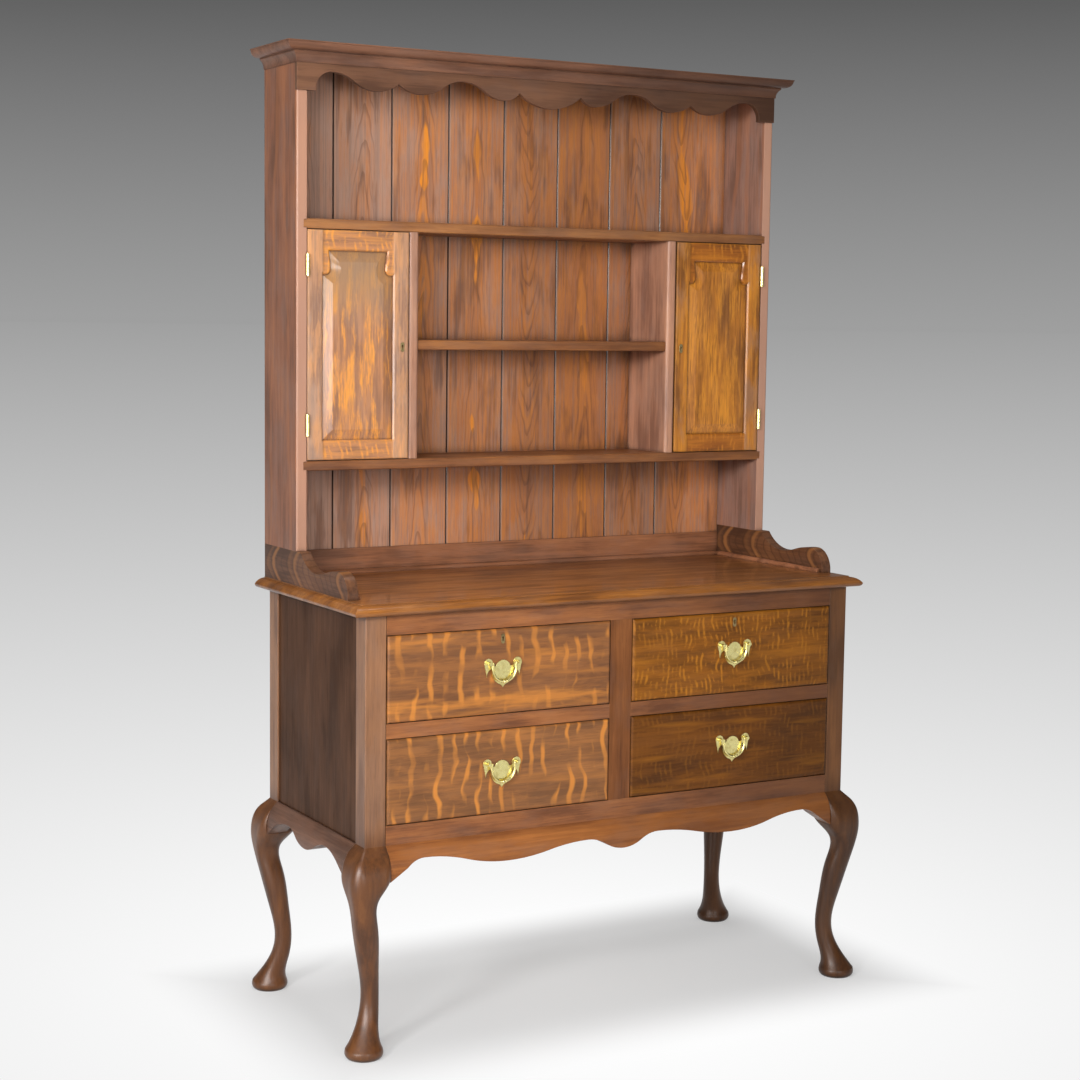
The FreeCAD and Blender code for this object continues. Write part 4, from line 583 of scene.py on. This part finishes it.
# Painted light: the top shelf is given lighter tones than the shelves below, which lie in more shade.
LIT_TOP_SHELF_TONES = ((0.189, 0.074, 0.029), (0.319, 0.129, 0.048), (0.521, 0.221, 0.070))
dress(plain_oak("top_shelf_oak", "X", "Z", 10.5, LIT_TOP_SHELF_TONES, fade=0.3, blotch=0.2), "top_shelf")
DIVIDER_TONES = ((0.287, 0.137, 0.087), (0.476, 0.235, 0.144), (0.658, 0.336, 0.203))
dress(plain_oak("divider_oak", "Z", "X", 11.0, DIVIDER_TONES), "dividers")

# Frieze and cornice: a scroll-sawn oak board across the head of the rack under a moulding in three mitred
# lengths, glued on and stained darker than the rack, and painted darker still towards the right end as
# shade. A plain board closes the top.

FRIEZE_TONES = ((0.109, 0.049, 0.028), (0.179, 0.083, 0.046), (0.263, 0.123, 0.067))
dress(plain_oak("frieze_oak", "X", "Y", 12.0, FRIEZE_TONES, fade=0.6), "frieze")
CORNICE_TONES = ((0.137, 0.060, 0.035), (0.224, 0.099, 0.056), (0.329, 0.147, 0.081))
dress(plain_oak("cornice_oak", "X", "Y", 13.0, CORNICE_TONES, fade=0.7, blotch=0.15), "cornice", "rack_top")

# Cupboard doors: oak stiles and rails, joined at the corners with shaped lugs at the head, round raised and
# fielded panels of figured oak. The stain took unevenly on the left one, and the right one is more golden.

DOOR_TONES = {
    "left": ((0.308, 0.140, 0.073), (0.546, 0.231, 0.092), (0.930, 0.364, 0.052)),
    "right": ((0.224, 0.078, 0.013), (0.490, 0.174, 0.022), (0.826, 0.325, 0.031)),
}
# The left stiles' greyer tones are a painted sheen.
STILE_TONES_AND_SHEEN = {
    "left": ((0.308, 0.161, 0.101), (0.546, 0.277, 0.147), (0.930, 0.424, 0.150)),
    "right": DOOR_TONES["right"],
}
DOOR_RAIL_TONES = {
    "left": DOOR_TONES["left"],
    "right": ((0.161, 0.048, 0.006), (0.343, 0.102, 0.010), (0.602, 0.207, 0.017)),
}
HEAD_GREY = (0.304, 0.210, 0.123)
HEAD_FOOT, HEAD_TOP, HEAD_GREYED = 1.41, 1.55, 0.6
PANEL_FIGURE = {
    "left": {"blotch": 0.9, "dash": 0.4, "bloom": 0.35},
    "right": {"blotch": 0.5, "dash": 0.6, "bloom": 0.1},
}
DOOR_STILE = 0.035
STILE_SEED, DOOR_RAIL_SEED, PANEL_SEED = 14.0, 15.0, 16.0
DOOR_RAIL_FLECK = {"Width": 0.012, "Length": 0.04, "Bend": 0.05}


def fleck_group():
    """Ray flecks of quartered oak, which stand across the grain.

    The grain coordinate is first bent by a slow noise. Strokes and ripples are the sine of the bent coordinate
    in fleck widths: strokes are narrow, and broken by a noise that is long across the grain, and ripples are
    wide, and broken by a fine one. A streak is a noise drawn out along the grain.
    """
    group, given, result = new_group(
        "ray_fleck",
        {
            "Board": ("Vector", (0.0, 0.0, 0.0)),
            "Seed": ("Float", 0.0),
            "Width": ("Float", 0.02),
            "Length": ("Float", 0.07),
            "Bend": ("Float", 0.05),
        },
        {label: "Float" for label in ("Stroke", "Ripple", "Streak")},
    )
    w = Wires(group)
    seed = given["Seed"]
    across, _, along = w.split(given["Board"])
    flat = w.join(across, seed, along)
    bent = w.noise(flat, (11.0, 1.0, 7.0), 2.0)
    slide = w.math("MULTIPLY_ADD", w.math("SUBTRACT", bent, 0.5), given["Bend"], along)
    step = w.math("DIVIDE", slide, given["Width"])
    cell = w.join(w.math("DIVIDE", across, given["Length"]), seed, step)
    wave = w.math("SINE", w.math("MULTIPLY", step, 2.0 * math.pi))
    gap = w.between(w.noise(cell, (1.0, 1.0, 0.8), 1.5), 0.44, 0.58)
    w.set(result["Stroke"], w.math("MULTIPLY", w.between(wave, 0.1, 0.95), gap))
    w.set(result["Streak"], w.between(w.noise(flat, (30.0, 1.0, 3.0), 3.0, 0.6), 0.52, 0.68))
    broken = w.noise(flat, (38.0, 1.0, 40.0), 3.0, 0.6)
    w.set(result["Ripple"], w.math("MULTIPLY", w.between(wave, -0.4, 1.0), w.between(broken, 0.44, 0.62)))
    return group


RAY_FLECK = fleck_group()


def door_frame_finish(side):
    """Material of a door frame: the grain runs up the stiles, and along the flecked rails between them."""
    finish = Finish(f"door_{side}_oak", coat=0.6, edge=0.008)
    tones = DOOR_TONES[side]
    low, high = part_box(f"door_{side}_frame")
    x = finish.split(finish.place)[0]
    from_middle = finish.math("ABSOLUTE", finish.math("SUBTRACT", x, (low[0] + high[0]) / 2))
    on_rail = finish.math("LESS_THAN", from_middle, (high[0] - low[0]) / 2 - DOOR_STILE)
    upright, level = finish.board("Z", "Y"), finish.board("X", "Y")
    stile, roughness, height = finish.wood(upright, STILE_SEED, STILE_TONES_AND_SHEEN[side], blotch=0.4, bloom=0.6)
    rail = finish.wood(level, DOOR_RAIL_SEED, DOOR_RAIL_TONES[side], blotch=0.3, bloom=0.0)[0]
    fleck = finish.use(RAY_FLECK, Board=level, Seed=DOOR_RAIL_SEED, **DOOR_RAIL_FLECK)["Ripple"]
    rail = finish.mix(finish.math("MULTIPLY", fleck, 0.7), rail, DOOR_RAIL_TONES[side][2])
    colour = finish.mix(on_rail, stile, rail)
    return finish.close(finish.shaded_and_worn(colour, tones, 0.2), roughness, height)


def panel_finish(side, seed):
    """Material of a door panel: upright figured grain, greyer towards the head of the left one, with painted
    shade in its recesses.
    """
    finish = Finish(f"panel_{side}_oak", coat=0.6)
    tones = DOOR_TONES[side]
    colour, roughness, height = finish.wood(finish.board("Z", "Y"), seed, tones, **PANEL_FIGURE[side])
    if side == "left":
        head = finish.between(finish.split(finish.place)[2], HEAD_FOOT, HEAD_TOP, 0.0, HEAD_GREYED)
        colour = finish.mix(head, colour, HEAD_GREY)
    return finish.close(finish.shaded_and_worn(colour, tones, 0.2, reach=0.03), roughness, height)


for number, side in enumerate(("left", "right")):
    dress(door_frame_finish(side), f"door_{side}_frame")
    dress(panel_finish(side, PANEL_SEED + number), f"door_{side}_panel")

# Drawers: fronts of quartered oak with rounded edges, whose ray flecks are bold on the left and fine on the
# right, fixed to boxes of plain pale wood that slide on the runners. Each row of flecks gives their kind,
# width, length, bend and strength, and the strength of the streaks.

FRONT_TONES = {
    ("upper", "left"): ((0.190, 0.074, 0.027), (0.260, 0.102, 0.034), (0.462, 0.174, 0.046)),
    ("lower", "left"): ((0.196, 0.080, 0.028), (0.273, 0.109, 0.035), (0.476, 0.182, 0.050)),
    ("upper", "right"): ((0.133, 0.045, 0.006), (0.231, 0.078, 0.008), (0.434, 0.151, 0.014)),
    ("lower", "right"): ((0.084, 0.027, 0.003), (0.136, 0.043, 0.004), (0.231, 0.076, 0.008)),
}
FLECK_COLOUR = {"left": (0.784, 0.287, 0.048), "right": (0.560, 0.210, 0.017)}
FRONT_COAT = {"left": 0.35, "right": 0.1}
FLECKS = {
    ("upper", "left"): ("Stroke", 0.034, 0.055, 0.06, 0.70, 0.45),
    ("lower", "left"): ("Stroke", 0.030, 0.085, 0.06, 0.80, 0.25),
    ("upper", "right"): ("Ripple", 0.0115, 0.030, 0.05, 0.75, 0.20),
    ("lower", "right"): ("Ripple", 0.013, 0.034, 0.05, 0.14, 0.25),
}
FRONT_SHADE_START, FRONT_SHADE = 0.25, 0.35
FRONT_SEED, BOX_SEED = 30.0, 40.0
SAP_DRAWER = ("upper", "left")
SAP_TOP, SAP_FOOT = (-0.038, -0.052), (-0.080, -0.066)


def drawer_finish(level, side, seed):
    """Material of a drawer front: level grain with light streaks, under flecks of one kind.

    The strength of the flecks fades in slow patches. One drawer has a ragged band of lighter sapwood along
    its foot.
    """
    name = f"drawer_{level}_{side}_front"
    finish = Finish(f"{name}_oak", coat=FRONT_COAT[side], edge=0.003)
    tones = FRONT_TONES[level, side]
    board = finish.board("X", "Y", middle_of(name))
    colour, roughness, height = finish.wood(board, seed, tones, blotch=0.35, bloom=0.1)
    kind, width, length, bend, strength, streak = FLECKS[level, side]
    rays = finish.use(RAY_FLECK, Board=board, Seed=seed, Width=width, Length=length, Bend=bend)
    patch = finish.between(finish.noise(board, (9.0, 9.0, 5.0)), 0.36, 0.56, 0.35 * strength, strength)
    flecked = finish.math("MULTIPLY", rays[kind], patch)
    mark = finish.math("MAXIMUM", flecked, finish.math("MULTIPLY", rays["Streak"], streak))
    colour = finish.mix(mark, colour, FLECK_COLOUR[side])
    # The right drawers are painted darker towards the right end as shade.
    if side == "right":
        colour = finish.painted_shade_to_right(colour, tones, FRONT_SHADE_START, RIGHT_SHADE_END, FRONT_SHADE)
    if (level, side) == SAP_DRAWER:
        up = finish.split(board)[0]
        band = finish.math("MULTIPLY", finish.between(up, *SAP_TOP), finish.between(up, *SAP_FOOT))
        ragged = finish.between(finish.noise(board, (45.0, 1.0, 6.0), 3.0, 0.6), 0.38, 0.62, 0.0, 0.6)
        colour = finish.mix(finish.math("MULTIPLY", band, ragged), colour, FLECK_COLOUR[side])
    return finish.close(finish.shaded_and_worn(colour, tones, 0.4, reach=0.025), roughness, height)


for number, (level, side) in enumerate(FLECKS):
    drawer = f"drawer_{level}_{side}"
    dress(drawer_finish(level, side, FRONT_SEED + number), f"{drawer}_front")
    box_wood = plain_oak(f"{drawer}_box_wood", "Y", "X", BOX_SEED + number, BARE_TONES, coat=0.0, wear=0.1)
    dress(box_wood, f"{drawer}_box")

# Brass: the handle plates, bails and hinges are cast and polished, and a little tarnished. The locks, bolts and
# key plates are duller. The plates and hinges lie on the wood, and the locks are let into it.


def brass_finish(name, bright, dull, roughness):
    """Material of a brass: the bright metal turns dull where a slow noise is high."""
    finish = Finish(name, coat=0.0, edge=0.0005)
    tarnish = finish.noise(finish.place, (130.0, 130.0, 130.0), 4.0)
    colour = finish.mix(finish.between(tarnish, 0.45, 0.75), bright, dull)
    finish.shader.inputs["Metallic"].default_value = 1.0
    return finish.close(colour, finish.math("MULTIPLY_ADD", tarnish, 0.25, roughness), tarnish, 0.05)


BRIGHT_BRASS, DULL_BRASS = (0.88, 0.78, 0.34), (0.66, 0.54, 0.20)
BROWNED_BRASS, BLACKENED_BRASS = (0.34, 0.26, 0.12), (0.16, 0.11, 0.05)
BRASS = brass_finish("brass", BRIGHT_BRASS, DULL_BRASS, roughness=0.16)
LOCK_BRASS = brass_finish("lock_brass", BROWNED_BRASS, BLACKENED_BRASS, roughness=0.3)
dress(BRASS, "hinge_fixed_leaves")
for side in ("left", "right"):
    dress(BRASS, f"door_{side}_hinges")
    dress(LOCK_BRASS, f"door_{side}_lock", f"door_{side}_bolt")
    dress(LOCK_BRASS, f"drawer_upper_{side}_lock", f"drawer_upper_{side}_bolt")
    for level in ("upper", "lower"):
        dress(BRASS, f"drawer_{level}_{side}_plate", f"drawer_{level}_{side}_bail")

# Studio: a plain pale floor that greys with distance into the background above it. The camera sees it
# partly as a light of its own, and the rest takes the shadow of the dresser.

FLOOR_REACH = 400.0
FAR_GREY, NEAR_WHITE, FADE_LENGTH = 0.345, 0.71, 4.4
UNDER_GLOW, UNDER_X, UNDER_Y, UNDER_EDGE = 0.37, 0.58, 0.25, 0.25
BOUNCE, SEEN = 0.60, 0.84


def seen_by_camera(wires):
    """1 for a ray from the camera, off a gloss or through glass."""
    path = wires.tree.nodes.new("ShaderNodeLightPath").outputs
    seen = wires.math("MAXIMUM", path["Is Camera Ray"], path["Is Glossy Ray"])
    return wires.math("MAXIMUM", seen, path["Is Transmission Ray"])


def studio_floor():
    """A very large floor: its grey is a far value plus a near one over one plus distance by fade length.

    Under the dresser's footprint less of it is a light of its own, so that its shadow shows.
    """
    mesh = bpy.data.meshes.new("studio_floor")
    r = FLOOR_REACH
    mesh.from_pydata([(-r, -r, 0), (r, -r, 0), (r, r, 0), (-r, r, 0)], [], [(0, 1, 2, 3)])
    floor = bpy.data.objects.new("studio_floor", mesh)
    bpy.context.scene.collection.objects.link(floor)
    material = bpy.data.materials.new("studio_floor")
    material.use_nodes = True
    tree = material.node_tree
    wires = Wires(tree)
    x, y, _ = wires.split(tree.nodes.new("ShaderNodeTexCoord").outputs["Object"])
    distance = wires.math("SQRT", wires.math("MULTIPLY_ADD", x, x, wires.math("MULTIPLY", y, y)))
    fade = wires.math("DIVIDE", NEAR_WHITE, wires.math("MULTIPLY_ADD", distance, 1.0 / FADE_LENGTH, 1.0))
    grey = wires.math("ADD", fade, FAR_GREY)
    shader = next(n for n in tree.nodes if n.type == "BSDF_PRINCIPLED")
    seen = seen_by_camera(wires)
    albedo = wires.math("MULTIPLY", grey, wires.between(seen, 0.0, 1.0, BOUNCE, SEEN))
    wires.set(shader.inputs["Base Color"], wires.join(albedo, albedo, albedo))
    shader.inputs["Roughness"].default_value = 0.8
    shader.inputs["Specular IOR Level"].default_value = 0.0
    glow = tree.nodes.new("ShaderNodeEmission")
    wires.set(glow.inputs["Color"], wires.join(grey, grey, grey))
    blend = tree.nodes.new("ShaderNodeMixShader")
    beside = wires.math("SUBTRACT", wires.math("ABSOLUTE", x), UNDER_X)
    before = wires.math("SUBTRACT", wires.math("ABSOLUTE", y), UNDER_Y)
    share = wires.between(wires.math("MAXIMUM", beside, before), 0.0, UNDER_EDGE, UNDER_GLOW, 1.0)
    wires.set(blend.inputs[0], wires.math("MULTIPLY", seen, share))
    wires.set(blend.inputs[1], shader.outputs[0])
    wires.set(blend.inputs[2], glow.outputs[0])
    output = next(n for n in tree.nodes if n.type == "OUTPUT_MATERIAL")
    wires.set(output.inputs["Surface"], blend.outputs[0])
    mesh.materials.append(material)


studio_floor()

# Lamps: square soft ones at the left, in front, at the right and above, at a plain level, so that colours show
# about as they are written. The card at the left shows only in the gloss of the wood and brass.


def soft_lamp(name, place, aim, size, power):
    """A square area lamp of a size and power at a place, facing a point."""
    lamp = bpy.data.lights.new(name, "AREA")
    lamp.shape = "SQUARE"
    lamp.size = size
    lamp.energy = power
    lamp_object = bpy.data.objects.new(name, lamp)
    lamp_object.location = place
    lamp_object.rotation_euler = (Vector(aim) - Vector(place)).to_track_quat("-Z", "Y").to_euler()
    bpy.context.scene.collection.objects.link(lamp_object)
    return lamp_object


soft_lamp("left_lamp", (-2.4, -3.0, 2.3), (-0.1, 0.0, 1.0), 1.5, 75.0)
soft_lamp("side_lamp", (-3.0, -1.9, 1.9), (-0.1, 0.0, 0.8), 0.5, 46.0)
soft_lamp("front_lamp", (-0.55, -4.8, 1.35), (-0.1, 0.0, 1.0), 0.7, 40.0)
soft_lamp("right_lamp", (1.8, -4.5, 1.3), (-0.1, 0.0, 1.0), 1.3, 7.0)
soft_lamp("top_lamp", (-0.2, 0.2, 4.4), (0.0, 0.0, 0.9), 2.0, 70.0)
left_card = soft_lamp("left_card", (-3.2, -1.4, 1.3), (0.0, 0.0, 1.1), 1.6, 100.0)
left_card.visible_diffuse = False

# Background: a weak, even light from all round. The camera sees in its place a grey that meets the far floor
# and darkens upwards.

AMBIENT = 0.18
SKY_LOW, SKY_HIGH, SKY_SPAN = 0.345, 0.095, 0.16


def studio_world():
    """Even light, and for the camera a grey that goes from low to high over a span above the horizon."""
    world = bpy.data.worlds.new("studio")
    world.use_nodes = True
    wires = Wires(world.node_tree)
    direction = wires.tree.nodes.new("ShaderNodeTexCoord").outputs["Generated"]
    height = wires.split(direction)[2]
    ramp = wires.tree.nodes.new("ShaderNodeMapRange")
    for socket, value in zip(ramp.inputs, (height, 0.0, SKY_SPAN, SKY_LOW, SKY_HIGH)):
        wires.set(socket, value)
    background = next(n for n in world.node_tree.nodes if n.type == "BACKGROUND")
    grey = wires.join(ramp.outputs[0], ramp.outputs[0], ramp.outputs[0])
    colour = wires.mix(seen_by_camera(wires), (AMBIENT, AMBIENT, AMBIENT), grey)
    wires.set(background.inputs["Color"], colour)
    bpy.context.scene.world = world


studio_world()

# Camera: it stands where the photograph was taken from. Its place, turn and length of lens were found from
# points on the dresser.

CAMERA_PLACE = Vector((-2.25115, -3.88285, 1.44822))
CAMERA_YAW, CAMERA_PITCH, CAMERA_ROLL = -0.5142, -0.1045, 0.0130
FOCAL_PIXELS, IMAGE_PIXELS, SENSOR_WIDTH = 2088.39, 1080, 36.0
forward = Vector((
    -math.sin(CAMERA_YAW) * math.cos(CAMERA_PITCH),
    math.cos(CAMERA_YAW) * math.cos(CAMERA_PITCH),
    math.sin(CAMERA_PITCH),
))
level_right = Vector((math.cos(CAMERA_YAW), math.sin(CAMERA_YAW), 0.0))
level_up = level_right.cross(forward)
right = level_right * math.cos(CAMERA_ROLL) + level_up * math.sin(CAMERA_ROLL)
up = level_up * math.cos(CAMERA_ROLL) - level_right * math.sin(CAMERA_ROLL)
camera = bpy.data.cameras.new("camera")
camera.sensor_width = SENSOR_WIDTH
camera.lens = FOCAL_PIXELS / IMAGE_PIXELS * SENSOR_WIDTH
camera.clip_end = 2.0 * FLOOR_REACH
camera_object = bpy.data.objects.new("camera", camera)
turn = Matrix((right, up, -forward)).transposed().to_4x4()
camera_object.matrix_world = Matrix.Translation(CAMERA_PLACE) @ turn
bpy.context.scene.collection.objects.link(camera_object)
bpy.context.scene.camera = camera_object
bpy.context.scene.view_settings.view_transform = "Standard"
